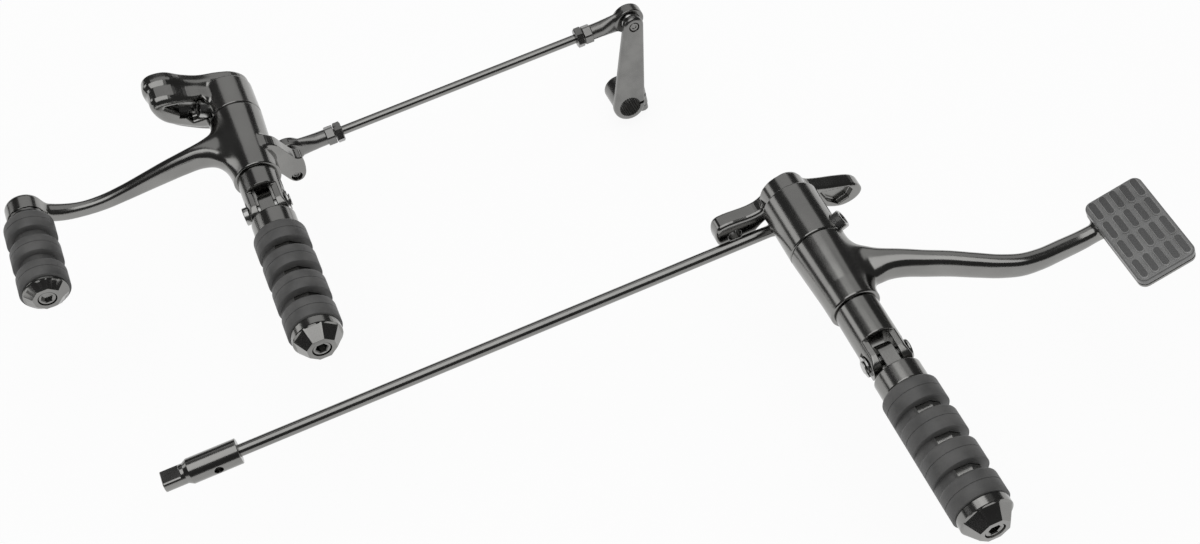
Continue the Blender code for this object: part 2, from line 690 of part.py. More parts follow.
def left_bracket(side):
    """The left bracket: collar and forward lobe, with a pocket and two threaded holes."""
    front = -side.collar_length
    back = front - LEFT_PLATE_THICKNESS
    outline = smooth_outline([(-0.0440, 0.0345), (-0.0500, 0.0280), (-0.0490, 0.0135), (-0.0472, 0.0025),
                              (-0.0415, -0.0080), (-0.0320, -0.0168), (-0.0200, -0.0252),
                              (-0.0070, -0.0290), (0.0060, -0.0250), (0.0150, -0.0130), (0.0170, 0.0010),
                              (0.0105, 0.0105), (0.0000, 0.0155), (-0.0125, 0.0192), (-0.0225, 0.0252),
                              (-0.0325, 0.0330)])
    bracket = bracket_collar(side)
    lobe = plate("left_lobe", outline, back, front, side.frame, edge=LEFT_PLATE_ROUND)
    pocket = plate("left_pocket", [(-0.0380, 0.0130), (-0.0275, -0.0035), (-0.0210, -0.0100),
                                   (-0.0200, 0.0075)],
                   front - LEFT_POCKET_DEPTH, front + OPEN_CUT, side.frame)
    combine(bracket, "UNION", lobe)
    combine(bracket, "DIFFERENCE", pocket)
    for name, bolt in (("left_upper_thread", LEFT_UPPER_BOLT), ("left_lower_thread", LEFT_LOWER_BOLT)):
        thread = cylinder(name, BRACKET_THREAD_RADIUS, back - OPEN_CUT, back + BRACKET_THREAD_DEPTH,
                          side.frame, (*bolt, 0.0))
        combine(bracket, "DIFFERENCE", thread)
    bore_collar(side, bracket)


def right_bracket(side):
    """The right bracket: collar, neck and two spread legs that stand clear of the brake rod."""
    front = -side.collar_length - RIGHT_NECK_LENGTH
    back = front - RIGHT_PLATE_THICKNESS
    outline = smooth_outline([(-0.0470, -0.0200), (-0.0450, -0.0125), (-0.0380, -0.0105),
                              (-0.0215, -0.0115), (-0.0125, -0.0085), (-0.0045, 0.0010),
                              (0.0050, 0.0050), (0.0130, 0.0015), (0.0185, -0.0075), (0.0275, -0.0125),
                              (0.0390, -0.0170), (0.0500, -0.0225), (0.0545, -0.0300),
                              (0.0500, -0.0365), (0.0400, -0.0385), (0.0290, -0.0335),
                              (0.0190, -0.0240), (0.0080, -0.0180), (-0.0060, -0.0180),
                              (-0.0160, -0.0240), (-0.0260, -0.0330), (-0.0370, -0.0350),
                              (-0.0450, -0.0290)], 3)
    bracket = bracket_collar(side)
    neck = cylinder("right_neck", RIGHT_NECK_RADIUS, front - RIGHT_PLATE_ROUND,
                    -side.collar_length + COLLAR_CHAMFER, side.frame, steps=ROUND)
    legs = plate("right_legs", outline, back, front, side.frame, edge=RIGHT_PLATE_ROUND)
    pocket = plate("right_pocket", smooth_outline([(0.0245, -0.0170), (0.0420, -0.0240),
                                                   (0.0445, -0.0300), (0.0350, -0.0315)], 3),
                   front - RIGHT_POCKET_DEPTH, front + OPEN_CUT, side.frame)
    through = cylinder("right_rear_hole", RIGHT_REAR_BOLT_RADIUS, back - OPEN_CUT, front + OPEN_CUT,
                       side.frame, (*RIGHT_REAR_BOLT, 0.0))
    combine(bracket, "UNION", neck, legs)
    combine(bracket, "DIFFERENCE", pocket, through)
    bore_collar(side, bracket)


def shift_lever(side):
    """The shift lever: hub, swept arm with its toe boss, and the ear that drives the shift rod."""
    lever = lever_hub(side, "shift_lever")
    arm = loft("shift_lever_arm", [
        ((-0.0040, 0.0020, 0.0270), 0.0225, 0.0088, 2.3),
        ((-0.0120, 0.0035, 0.0262), 0.0205, 0.0092, 2.3),
        ((-0.0180, 0.0046, 0.0250), 0.0150, 0.0092, 2.3),
        ((-0.0240, 0.0053, 0.0240), 0.0103, 0.0091, 2.3),
        ((-0.0310, 0.0054, 0.0235), 0.0072, 0.0089, 2.4),
        ((-0.0430, 0.0045, 0.0232), 0.0057, 0.0084, 2.5),
        ((-0.0560, 0.0030, 0.0231), 0.0051, 0.0077, 2.6),
        ((-0.0700, 0.0011, 0.0231), 0.0046, 0.0068, 2.6),
        ((-0.0860, -0.0010, 0.0231), 0.0043, 0.0058, 2.6),
        ((-0.1010, -0.0020, 0.0231), 0.0043, 0.0052, 2.6),
        ((-0.1150, -0.0006, 0.0231), 0.0043, 0.0050, 2.6),
        ((-0.1270, 0.0035, 0.0232), 0.0053, 0.0051, 2.6),
        ((-0.1375, 0.0092, 0.0230), 0.0061, 0.0054, 2.6),
        ((-0.1460, 0.0142, 0.0228), 0.0070, 0.0056, 2.6)], side.frame)
    eighth = TOE_BOSS_ROUND * (1.0 - math.cos(math.pi / 4.0))
    edge = TOE_BOSS_RADIUS - COLLAR_CHAMFER
    boss = turned("toe_boss", [(0.0, TOE_BOSS_FRONT), (edge, TOE_BOSS_FRONT),
                               (TOE_BOSS_RADIUS, TOE_BOSS_FRONT - COLLAR_CHAMFER),
                               (TOE_BOSS_RADIUS, TOE_BOSS_BACK + TOE_BOSS_ROUND),
                               (TOE_BOSS_RADIUS - eighth, TOE_BOSS_BACK + eighth),
                               (TOE_BOSS_RADIUS - TOE_BOSS_ROUND, TOE_BOSS_BACK), (0.0, TOE_BOSS_BACK)],
                  side.frame, (*TOE, 0.0))
    tab = plate("ear_tab", smooth_outline([(0.0100, 0.0105), (0.0186, 0.0076), (0.0236, -0.0026),
                                           (0.0277, -0.0109), (0.0318, -0.0136), (0.0323, -0.0205),
                                           (0.0303, -0.0296), (0.0258, -0.0335), (0.0200, -0.0312),
                                           (0.0130, -0.0178), (0.0040, -0.0120)]),
                EAR_FRONT - EAR_TAB_THICKNESS, EAR_FRONT, side.frame, edge=EAR_ROUND)
    ear_hole = cylinder("ear_hole", ROD_BOLT_RADIUS + GAP, 0.0, EAR_FRONT + OPEN_CUT, side.frame,
                        (*EAR_HOLE, 0.0))
    toe_hole = cylinder("toe_hole", TOE_SCREW_RADIUS + GAP, TOE_BOSS_FRONT - TOE_SCREW_ENGAGEMENT - GAP,
                        TOE_BOSS_FRONT + OPEN_CUT, side.frame, (*TOE, 0.0))
    combine(lever, "UNION", arm, boss, tab)
    combine(lever, "DIFFERENCE", ear_hole, toe_hole)
    bore_hub(side, lever)


def toe_peg(side):
    """The toe peg: core, ribbed rubber, end cap and the screw through them into the boss."""
    toe = frame_empty("toe_peg_axis", (*TOE, TOE_BOSS_FRONT + GAP), parent=side.frame)
    rubber_start = TOE_BASE_LENGTH + GAP
    rings_start = rubber_start + TOE_NECK_LENGTH
    rubber_end = rings_start + TOE_RING_COUNT * (TOE_RING_WIDTH + TOE_GROOVE_WIDTH) - TOE_GROOVE_WIDTH
    bore = TOE_SCREW_RADIUS + GAP
    turned("toe_peg_core", [(TOE_CORE_RADIUS, rubber_end), (TOE_CORE_RADIUS, TOE_BASE_LENGTH),
                            (TOE_BASE_RADIUS, TOE_BASE_LENGTH), (TOE_BASE_RADIUS, 0.0), (bore, 0.0),
                            (bore, rubber_end)], toe, steps=ROUND_SMALL, finish="satin_black")
    shoulder = [(0.0, TOE_RING_TAPER), (0.3 * TOE_RING_TAPER, 0.45 * TOE_RING_TAPER),
                (0.7 * TOE_RING_TAPER, 0.0)]
    rings = ring_profile(rubber_end, TOE_RING_COUNT, TOE_RING_WIDTH, TOE_GROOVE_WIDTH,
                         TOE_RUBBER_RADIUS, TOE_GROOVE_RADIUS, shoulder)
    inner = TOE_CORE_RADIUS + GAP
    neck = [(TOE_NECK_RADIUS, rings_start), (TOE_BASE_RADIUS, rubber_start)]
    turned("toe_peg_rubber", [(inner, rubber_end)] + rings[1:-1] + neck + [(inner, rubber_start)], toe,
           finish="black_rubber")
    base = rubber_end + GAP
    end_cap("toe_peg_cap", toe, base, TOE_CAP_RADIUS, TOE_CAP_FLANGE, TOE_CAP_LENGTH,
            TOE_CAP_SHOULDER_RADIUS, TOE_CAP_FACE_RADIUS, TOE_SCREW_RADIUS, TOE_SCREW_HEAD_RADIUS,
            TOE_SCREW_SEAT)
    seat = base + TOE_SCREW_SEAT
    socket_screw("toe_peg_screw", TOE_SCREW_RADIUS, seat + GAP + TOE_SCREW_ENGAGEMENT,
                 TOE_SCREW_HEAD_RADIUS, TOE_SCREW_HEAD_LENGTH, toe, (0.0, 0.0, seat))


def sphere_band(radius, half_width, count=4):
    """Points down the outside of a ball cut flat at both ends, as (radius, height) pairs."""
    top = math.asin(half_width / radius)
    return [(radius * math.cos(top - 2.0 * top * i / count), radius * math.sin(top - 2.0 * top * i / count))
            for i in range(count + 1)]


def ball(name, parent, at=(0.0, 0.0, 0.0)):
    """The drilled ball of a rod end."""
    bore = ROD_BOLT_RADIUS + GAP
    half = BALL_WIDTH / 2.0
    turned(name, sphere_band(BALL_RADIUS, half) + [(bore, -half), (bore, half)], parent, at,
           steps=ROUND_SMALL, finish="dark_steel")


def rod_end(name, parent, at, facing):
    """A rod end: round eye with a ball seat, shank, and hexagon collar towards the rod."""
    turn = (0.0, 0.0, 0.0) if facing > 0 else (0.0, math.pi, 0.0)
    holder = frame_empty(name + "_axis", at, turn, parent)
    half = EYE_WIDTH / 2.0
    collar_end = COLLAR_FROM_EYE + COLLAR_WIDTH
    body = cylinder(name, EYE_RADIUS, -half, half, holder, steps=ROUND, finish="satin_black",
                    chamfer=COLLAR_CHAMFER)
    shank = turned(name + "_shank", [(0.0, collar_end - GAP), (SHANK_RADIUS, collar_end - GAP),
                                     (SHANK_RADIUS, EYE_RADIUS * 1.5), (half, EYE_RADIUS * 0.9),
                                     (half, BALL_RADIUS), (0.0, BALL_RADIUS)], holder, turn=ALONG_X,
                   steps=ROUND_SMALL)
    collar = plate(name + "_collar", polygon(COLLAR_ACROSS, 6), COLLAR_FROM_EYE, collar_end, holder,
                   turn=ALONG_X)
    band = sphere_band(BALL_RADIUS + GAP, half + GAP)
    seat = turned(name + "_seat", [(0.0, band[0][1])] + band + [(0.0, band[-1][1])], holder,
                  steps=ROUND_SMALL)
    bore = cylinder(name + "_bore", SHIFT_ROD_RADIUS + GAP, collar_end - SHIFT_ROD_INSERT - GAP,
                    collar_end + OPEN_CUT, holder, turn=ALONG_X)
    combine(body, "UNION", shank, collar)
    combine(body, "DIFFERENCE", seat, bore)


def jam_nut(name, parent, start):
    """A nut on the shift rod, which starts at the given place along x."""
    nut = plate(name, polygon(JAM_NUT_ACROSS, 6), start, start + JAM_NUT_WIDTH, parent, turn=ALONG_X,
                finish="satin_black")
    bore = cylinder(name + "_bore", SHIFT_ROD_RADIUS + GAP, start - OPEN_CUT,
                    start + JAM_NUT_WIDTH + OPEN_CUT, parent, turn=ALONG_X)
    combine(nut, "DIFFERENCE", bore)


def shift_linkage(side):
    """The shift rod with its rod ends and nuts, and what bolts it to the shift lever."""
    rod = frame_empty("shift_rod_axis", (*EAR_HOLE, EYE_Z), parent=side.frame)
    collar_end = COLLAR_FROM_EYE + COLLAR_WIDTH
    rear_end = ROD_BETWEEN_EYES - collar_end
    rod_end("front_rod_end", rod, (0.0, 0.0, 0.0), 1)
    rod_end("rear_rod_end", rod, (ROD_BETWEEN_EYES, 0.0, 0.0), -1)
    jam_nut("front_jam_nut", rod, collar_end + GAP)
    jam_nut("rear_jam_nut", rod, rear_end - GAP - JAM_NUT_WIDTH)
    cylinder("shift_rod", SHIFT_ROD_RADIUS, collar_end - SHIFT_ROD_INSERT, rear_end + SHIFT_ROD_INSERT,
             rod, turn=ALONG_X, finish="gloss_black", chamfer=GAP)
    ball("front_ball", rod)
    half = BALL_WIDTH / 2.0
    tab_back = EAR_FRONT - EAR_TAB_THICKNESS - EYE_Z
    bore = ROD_BOLT_RADIUS + GAP
    low = half + GAP
    high = tab_back - GAP
    turned("front_spacer", [(SPACER_RADIUS, high), (SPACER_RADIUS, low), (bore, low), (bore, high)], rod,
           steps=ROUND_SMALL, finish="satin_black")
    hex_bolt("front_rod_bolt", ROD_BOLT_RADIUS, half + GAP + tab_back + EAR_TAB_THICKNESS - EAR_BOLT_RECESS,
             ROD_BOLT_HEAD_ACROSS, ROD_BOLT_HEAD_LENGTH, rod, (0.0, 0.0, -half - GAP), BACKWARDS)
    shift_arm(rod)


def shift_arm(rod):
    """The arm on the gearbox shaft: ball and bolt, tapered arm, split boss and pinch bolt."""
    arm = frame_empty("shift_arm_axis", (ROD_BETWEEN_EYES, 0.0, 0.0), (ARM_ROLL, 0.0, 0.0), rod)
    half = BALL_WIDTH / 2.0
    back = half + GAP
    front = back + ARM_THICKNESS
    ball("rear_ball", arm)
    hex_bolt("rear_rod_bolt", ROD_BOLT_RADIUS, half + GAP + front - GAP, ROD_BOLT_HEAD_ACROSS,
             ROD_BOLT_HEAD_LENGTH, arm, (0.0, 0.0, -half - GAP), BACKWARDS)
    body = plate("shift_arm", two_circle_outline((0.0, 0.0), ARM_TOP_RADIUS, ARM_BORE, ARM_BOTTOM_RADIUS, 16),
                 back, front, arm, edge=COLLAR_CHAMFER, finish="satin_black")
    centre = (*ARM_BORE, 0.0)
    boss_back = back - ARM_BOSS_LENGTH
    boss = cylinder("arm_boss", ARM_BOTTOM_RADIUS - ARM_BOSS_STEP, boss_back,
                    back + COLLAR_CHAMFER * 2.0, arm, centre, steps=ROUND)
    lobe_x = ARM_BORE[0] + ARM_BORE_RADIUS + 2.0 * GAP + PINCH_BOLT_RADIUS
    lobe_z = front - PINCH_BACK
    lobe = plate("arm_lobe", two_circle_outline((0.0, 0.0), PINCH_LOBE_RADIUS, (-PINCH_LOBE_RADIUS, 0.0),
                                                PINCH_LOBE_RADIUS),
                 -PINCH_LOBE_HEIGHT / 2.0, PINCH_LOBE_HEIGHT / 2.0, arm, (lobe_x, ARM_BORE[1], lobe_z),
                 AGAINST_Y)
    bore = cylinder("arm_bore", ARM_BORE_RADIUS, boss_back - OPEN_CUT, front + OPEN_CUT, arm, centre,
                    steps=ROUND)
    slit_length = ARM_BORE_RADIUS + 3.0 * PINCH_LOBE_RADIUS
    slit = plate("arm_slit", rounded_rectangle(slit_length, ARM_SLIT, GAP, 1), boss_back - OPEN_CUT,
                 front + OPEN_CUT, arm, (ARM_BORE[0] + slit_length / 2.0, ARM_BORE[1], 0.0))
    bolt_hole = cylinder("arm_bolt_hole", ROD_BOLT_RADIUS + GAP, 0.0, front + OPEN_CUT, arm)
    pinch_hole = cylinder("pinch_hole", PINCH_BOLT_RADIUS + GAP, -PINCH_LOBE_HEIGHT, PINCH_LOBE_HEIGHT,
                          arm, (lobe_x, ARM_BORE[1], lobe_z), AGAINST_Y)
    combine(body, "UNION", boss, lobe)
    combine(body, "DIFFERENCE", slit, bore, bolt_hole, pinch_hole)
    socket_screw("arm_pinch_bolt", PINCH_BOLT_RADIUS, PINCH_LOBE_HEIGHT, PINCH_HEAD_RADIUS,
                 PINCH_HEAD_LENGTH, arm, (lobe_x, ARM_BORE[1] - PINCH_LOBE_HEIGHT / 2.0 - GAP, lobe_z),
                 AGAINST_Y)


def brake_pedal(side):
    """The brake pedal: hub, swept arm, pad plate, and the lug that drives the brake rod."""
    pedal = lever_hub(side, "brake_pedal")
    arm = loft("brake_pedal_arm", [
        ((0.0040, 0.0000, 0.0240), 0.0220, 0.0100, 2.2),
        ((0.0110, 0.0000, 0.0230), 0.0195, 0.0100, 2.2),
        ((0.0185, 0.0000, 0.0240), 0.0145, 0.0099, 2.2),
        ((0.0270, 0.0000, 0.0275), 0.0100, 0.0098, 2.3),
        ((0.0385, 0.0000, 0.0325), 0.0073, 0.0097, 2.4),
        ((0.0510, 0.0000, 0.0395), 0.0063, 0.0095, 2.5),
        ((0.0639, 0.0000, 0.0466), 0.0060, 0.0092, 2.5),
        ((0.0765, 0.0000, 0.0545), 0.0058, 0.0088, 2.5),
        ((0.0887, 0.0000, 0.0618), 0.0056, 0.0083, 2.5),
        ((0.1000, 0.0000, 0.0665), 0.0055, 0.0078, 2.5),
        ((0.1110, 0.0000, 0.0680), 0.0054, 0.0073, 2.4),
        ((0.1250, 0.0002, 0.0678), 0.0053, 0.0068, 2.4),
        ((0.1400, 0.0012, 0.0677), 0.0052, 0.0063, 2.3),
        ((0.1500, 0.0040, 0.0682), 0.0052, 0.0055, 2.3),
        ((0.1590, 0.0075, 0.0700), 0.0060, 0.0045, 2.3)], side.frame)
    pad = frame_empty("brake_pad_plane", PAD_CENTRE, (-math.pi / 2.0, 0.0, 0.0), side.frame)
    tilt = frame_empty("brake_pad_tilt", (0.0, 0.0, 0.0), (0.0, -PAD_TILT, 0.0), pad)
    plate_top = -PAD_RUBBER_THICKNESS - GAP
    outline = rounded_rectangle(PAD_WIDTH, PAD_LENGTH, PAD_CORNER)
    pad_plate = plate("pad_plate", outline, plate_top - PAD_PLATE_THICKNESS, plate_top, tilt)
    eye_front = BRAKE_EYE_BACK - BRAKE_EYE_WIDTH / 2.0
    drop = -BRAKE_EYE_DROP
    lug = loft("brake_lug", [
        ((0.0, -0.0100, 0.0260), LUG_HALF_WIDTH, 0.0090, 2.4),
        ((0.0, -0.0150, 0.0180), LUG_HALF_WIDTH, 0.0085, 2.4),
        ((0.0, -0.0215, 0.0110), LUG_HALF_WIDTH, 0.0066, 2.5),
        ((0.0, -0.0252, 0.0045), LUG_HALF_WIDTH, 0.0053, 2.6),
        ((0.0, drop, -0.0040), LUG_HALF_WIDTH, LUG_HALF_HEIGHT, 2.7),
        ((0.0, drop, GAP - eye_front), LUG_HALF_WIDTH, LUG_HALF_HEIGHT, 2.7)], side.frame)
    thread = cylinder("lug_thread", BRAKE_BOLT_RADIUS + GAP, -eye_front - OPEN_CUT,
                      -eye_front + BRAKE_BOLT_ENGAGEMENT + 2.0 * GAP, side.frame, (0.0, drop, 0.0))
    combine(pedal, "UNION", arm, pad_plate, lug)
    combine(pedal, "DIFFERENCE", thread)
    bore_hub(side, pedal)
    brake_pad(tilt, outline)


def brake_pad(tilt, outline):
    """The rubber on the pad plate, with its rows of raised bars."""
    pad = plate("brake_pad", outline, -PAD_RUBBER_THICKNESS, 0.0, tilt, edge=PAD_ROUND,
                finish="black_rubber")
    bar = two_circle_outline((0.0, (RIB_WIDTH - RIB_LENGTH) / 2.0), RIB_WIDTH / 2.0,
                             (0.0, (RIB_LENGTH - RIB_WIDTH) / 2.0), RIB_WIDTH / 2.0, 3)
    for column in range(RIB_COLUMNS):
        for row in range(RIB_ROWS):
            at = ((column - (RIB_COLUMNS - 1) / 2.0) * RIB_COLUMN_PITCH,
                  (row - (RIB_ROWS - 1) / 2.0) * RIB_ROW_PITCH, 0.0)
            combine(pad, "UNION", plate("pad_rib", bar, -RIB_SINK, RIB_HEIGHT, tilt, at))


def brake_linkage(side):
    """The brake rod with its forged eye, the bolt that holds it, and the coupler."""
    rod = frame_empty("brake_rod_axis", (0.0, -BRAKE_EYE_DROP, -BRAKE_EYE_BACK), parent=side.frame)
    half = BRAKE_EYE_WIDTH / 2.0
    eye = cylinder("brake_rod", BRAKE_EYE_RADIUS, -half, half, rod, steps=ROUND, chamfer=COLLAR_CHAMFER)
    rod_end_x = COUPLER_START - COUPLER_INSERT
    bar = turned("brake_rod_bar", [(0.0, -BRAKE_EYE_RADIUS + 0.0040), (half, -BRAKE_EYE_RADIUS + 0.0040),
                                   (half, -BRAKE_EYE_RADIUS - 0.0010),
                                   (BRAKE_ROD_RADIUS, -BRAKE_EYE_RADIUS - 0.0060),
                                   (BRAKE_ROD_RADIUS, rod_end_x), (0.0, rod_end_x)], rod, turn=ALONG_X,
                 steps=ROUND_SMALL)
    hole = cylinder("brake_eye_hole", BRAKE_BOLT_RADIUS + GAP, -BRAKE_EYE_WIDTH, BRAKE_EYE_WIDTH, rod)
    combine(eye, "UNION", bar)
    combine(eye, "DIFFERENCE", hole)
    socket_screw("brake_rod_bolt", BRAKE_BOLT_RADIUS, BRAKE_EYE_WIDTH + BRAKE_BOLT_ENGAGEMENT,
                 BRAKE_BOLT_HEAD_RADIUS, BRAKE_BOLT_HEAD_LENGTH, rod, (0.0, 0.0, -half - GAP), BACKWARDS)
    coupler(rod, rod_end_x)


def coupler(rod, rod_end_x):
    """The coupler on the end of the brake rod: stepped sleeve, cross hole and milled flat."""
    end = COUPLER_START - COUPLER_LENGTH
    step = COUPLER_START - COUPLER_WIDE_LENGTH
    edge = COLLAR_CHAMFER
    profile = [(0.0, COUPLER_START), (COUPLER_RADIUS - edge, COUPLER_START),
               (COUPLER_RADIUS, COUPLER_START - edge), (COUPLER_RADIUS, step),
               (COUPLER_END_RADIUS, step - COUPLER_TAPER), (COUPLER_END_RADIUS, end + edge),
               (COUPLER_END_RADIUS - edge, end), (0.0, end)]
    sleeve = turned("brake_coupler", profile, rod, turn=ALONG_X)
    bore = cylinder("coupler_bore", BRAKE_ROD_RADIUS + GAP, rod_end_x - 2.0 * GAP,
                    COUPLER_START + OPEN_CUT, rod, turn=ALONG_X)
    hole = cylinder("coupler_hole", COUPLER_HOLE_RADIUS, BRAKE_ROD_RADIUS, 2.0 * COUPLER_RADIUS, rod,
                    (COUPLER_START - COUPLER_HOLE_FROM_START, 0.0, 0.0))
    flat = plate("coupler_flat", rounded_rectangle(COUPLER_FLAT_LENGTH + OPEN_CUT, 4.0 * COUPLER_RADIUS,
                                                   GAP, 1),
                 COUPLER_END_RADIUS - COUPLER_FLAT_DEPTH, 2.0 * COUPLER_RADIUS, rod,
                 (end + (COUPLER_FLAT_LENGTH - OPEN_CUT) / 2.0, 0.0, 0.0), (-math.pi / 2.0, 0.0, 0.0))
    combine(sleeve, "DIFFERENCE", bore, hole, flat)


def main():
    """Build every piece."""
    clear_scene()
    add_finish("gloss_black", (0.018, 0.018, 0.019), 0.12, 0.0)
    add_finish("satin_black", (0.045, 0.045, 0.047), 0.38, 0.6)
    add_finish("dark_steel", (0.10, 0.10, 0.105), 0.30, 1.0)
    add_finish("black_rubber", (0.055, 0.055, 0.057), 0.62, 0.0)
    left_seam = Vector((-LEFT_MOUNT[0], -LEFT_COLLAR_LENGTH - LEFT_PLATE_THICKNESS, -LEFT_MOUNT[1]))
    left = Side("left", left_seam, LEFT_COLLAR_LENGTH, LEFT_BORE_DEPTH, LEFT_HUB_LENGTH,
                LEFT_SUPPORT_RADIUS, LEFT_SUPPORT_REACH, math.pi - LOCK_SCREW_TILT, LEFT_LOCK_SCREW_BACK,
                ALONG_X)
    right = Side("right", left_seam + Vector(RIGHT_FROM_LEFT), RIGHT_COLLAR_LENGTH, RIGHT_BORE_DEPTH,
                 RIGHT_HUB_LENGTH, RIGHT_SUPPORT_RADIUS, RIGHT_SUPPORT_REACH, LOCK_SCREW_TILT,
                 RIGHT_LOCK_SCREW_BACK, AGAINST_X)
    left_bracket(left)
    right_bracket(right)
    for side in (left, right):
        lock_screw(side)
        peg_support(side)
        hub_bush(side)
        pivot_pin(side)
        foot_peg(side)
    shift_lever(left)
    toe_peg(left)
    shift_linkage(left)
    brake_pedal(right)
    brake_linkage(right)


main()
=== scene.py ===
"""The looks of the motorcycle forward controls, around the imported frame, in metres.

Turned pieces are profiles carried round an axis, and castings are surfaces where a field of the
three coordinates crosses zero. Each side of the set has a frame of its own: x along the control
rods, y up, and z out along the foot peg.
"""

import json
import logging
import math
from dataclasses import dataclass, field
from enum import Enum
from typing import Callable, Dict, List, Optional, Sequence, Tuple, Union

import bpy
import numpy as np
from mathutils import Matrix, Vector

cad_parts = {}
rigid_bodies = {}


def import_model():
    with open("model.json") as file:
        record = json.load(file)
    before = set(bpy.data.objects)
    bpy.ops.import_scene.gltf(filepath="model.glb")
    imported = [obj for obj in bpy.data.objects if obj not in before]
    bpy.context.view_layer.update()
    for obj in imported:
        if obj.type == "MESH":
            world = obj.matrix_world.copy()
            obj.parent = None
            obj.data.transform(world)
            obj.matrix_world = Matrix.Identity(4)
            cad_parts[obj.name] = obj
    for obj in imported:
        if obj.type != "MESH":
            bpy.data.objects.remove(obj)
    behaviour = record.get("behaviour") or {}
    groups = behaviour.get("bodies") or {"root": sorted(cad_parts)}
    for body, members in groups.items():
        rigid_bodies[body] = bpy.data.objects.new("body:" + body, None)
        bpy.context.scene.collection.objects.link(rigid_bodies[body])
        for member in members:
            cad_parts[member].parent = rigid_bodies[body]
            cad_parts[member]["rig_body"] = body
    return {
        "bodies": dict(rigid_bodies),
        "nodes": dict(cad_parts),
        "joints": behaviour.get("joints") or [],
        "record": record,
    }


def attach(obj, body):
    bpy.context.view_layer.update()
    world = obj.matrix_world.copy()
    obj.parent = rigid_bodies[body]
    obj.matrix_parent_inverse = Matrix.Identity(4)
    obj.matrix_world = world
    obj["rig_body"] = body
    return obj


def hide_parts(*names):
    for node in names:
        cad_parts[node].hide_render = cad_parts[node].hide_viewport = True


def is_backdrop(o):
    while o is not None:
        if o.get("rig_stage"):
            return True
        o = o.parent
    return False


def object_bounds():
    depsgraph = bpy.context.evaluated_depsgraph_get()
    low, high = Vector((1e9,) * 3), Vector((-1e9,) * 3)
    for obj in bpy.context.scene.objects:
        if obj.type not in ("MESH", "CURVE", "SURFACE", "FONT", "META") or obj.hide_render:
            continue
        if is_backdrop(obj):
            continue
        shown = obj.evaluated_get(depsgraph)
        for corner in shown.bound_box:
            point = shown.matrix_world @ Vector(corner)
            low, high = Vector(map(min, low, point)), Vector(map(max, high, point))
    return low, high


Array = np.ndarray
Point = Tuple[float, float, float]
Outline = Tuple[Tuple[float, float], ...]
Field = Callable[[Array, Array, Array], Array]
log = logging.getLogger("forward_controls")

# The clearance between touching pieces, the cells of castings, and the steps round turned pieces
GAP = 0.0003
PITCH = 0.0007
FINE_PITCH = 0.00045
ROUND = 96
FINE_ROUND = 144
SMALL_ROUND = 48
# A flat too far out to cut a turned profile, and a length that carries a cut well past its piece
NO_FLAT = 1.0
OPEN = 0.02
# The fine line round each rubber ring, and the small edge beside it
LINE_WIDTH = 0.00028
LINE_DEPTH = 0.0003
# Proportions of screw, bolt and nut heads, as shares of their radius or height
SOCKET_SHARE = 0.55
EDGE_SHARE = 0.10
DOME_SHARE = 0.6
NUT_FACE_SHARE = 0.96
# The broken edge of the end caps
CAP_EDGE = 0.0004
# How far to either side a field's slope is read, as a share of a cell, the slope past which it gives a
# normal, and the least squared slope that a step onto the surface is divided by
SLOPE_REACH = 0.05
SLOPE_KNOWN = 0.5
SLOPE_LEAST = 0.05
# Degrees between faces past which an edge stays crisp
SHARP = 38.0
RUBBER_SHARP = 50.0
CAP_SHARP = 20.0
NUT_SHARP = 25.0
KEPT_SHARP = 35.0
# How close a kept node's loose points lie to be one
WELD_REACH = 0.00001
# Where cloudy noise reaches its darkest and its lightest tone
CLOUD_RANGE = (0.35, 0.65)


class Slot(Enum):
    """The record's material slots."""

    GLOSS = "gloss_black_metal"
    SATIN = "satin_black_steel"
    STEEL = "dark_steel"
    RUBBER = "black_rubber"


@dataclass(frozen=True)
class Frame:
    """A frame of the object, given by its origin and its turn in world space."""

    origin: Tuple[float, ...]
    turn: Tuple[Tuple[float, ...], ...]

    def world(self, points: Array) -> Array:
        """Points of this frame in world space."""
        return points @ np.array(self.turn).T + np.array(self.origin)

    def child(self, at: Sequence[float] = (0.0, 0.0, 0.0), turn: Optional[Array] = None) -> "Frame":
        """A frame placed and turned in this one.

        Args:
            at: the child's origin, in this frame.
            turn: the child's axes as the columns of a matrix, or None to keep this frame's.

        Returns:
            The child frame.
        """
        own = np.array(self.turn)
        place = own @ np.array(at) + np.array(self.origin)
        axes = own if turn is None else own @ turn
        return Frame(tuple(place), tuple(map(tuple, axes)))


def turn_about(axis: str, angle: float) -> Array:
    """The matrix of a turn about x, y or z.

    Args:
        axis: x, y or z.
        angle: the angle in radians.

    Returns:
        The matrix.
    """
    c, s = math.cos(angle), math.sin(angle)
    if axis == "x":
        return np.array([[1.0, 0.0, 0.0], [0.0, c, -s], [0.0, s, c]])
    if axis == "y":
        return np.array([[c, 0.0, s], [0.0, 1.0, 0.0], [-s, 0.0, c]])
    return np.array([[c, -s, 0.0], [s, c, 0.0], [0.0, 0.0, 1.0]])


SIDE_TURN = ((1.0, 0.0, 0.0), (0.0, 0.0, -1.0), (0.0, 1.0, 0.0))
ALONG_X = turn_about("y", math.pi / 2.0)
AGAINST_Y = turn_about("x", math.pi / 2.0)
BACKWARDS = turn_about("x", math.pi)


@dataclass
class Surface:
    """A mesh in the making: points in a frame's coordinates, and faces of three or four corners.

    Normals are its outward directions where a field gives them exactly, and zero elsewhere.
    """

    points: Array
    faces: List[Array]
    normals: Optional[Array] = None

    def placed(self, frame: Frame) -> "Surface":
        """The same surface in world space."""
        normals = None if self.normals is None else frame.world(self.normals) - frame.world(np.zeros(3))
        return Surface(frame.world(self.points), self.faces, normals)


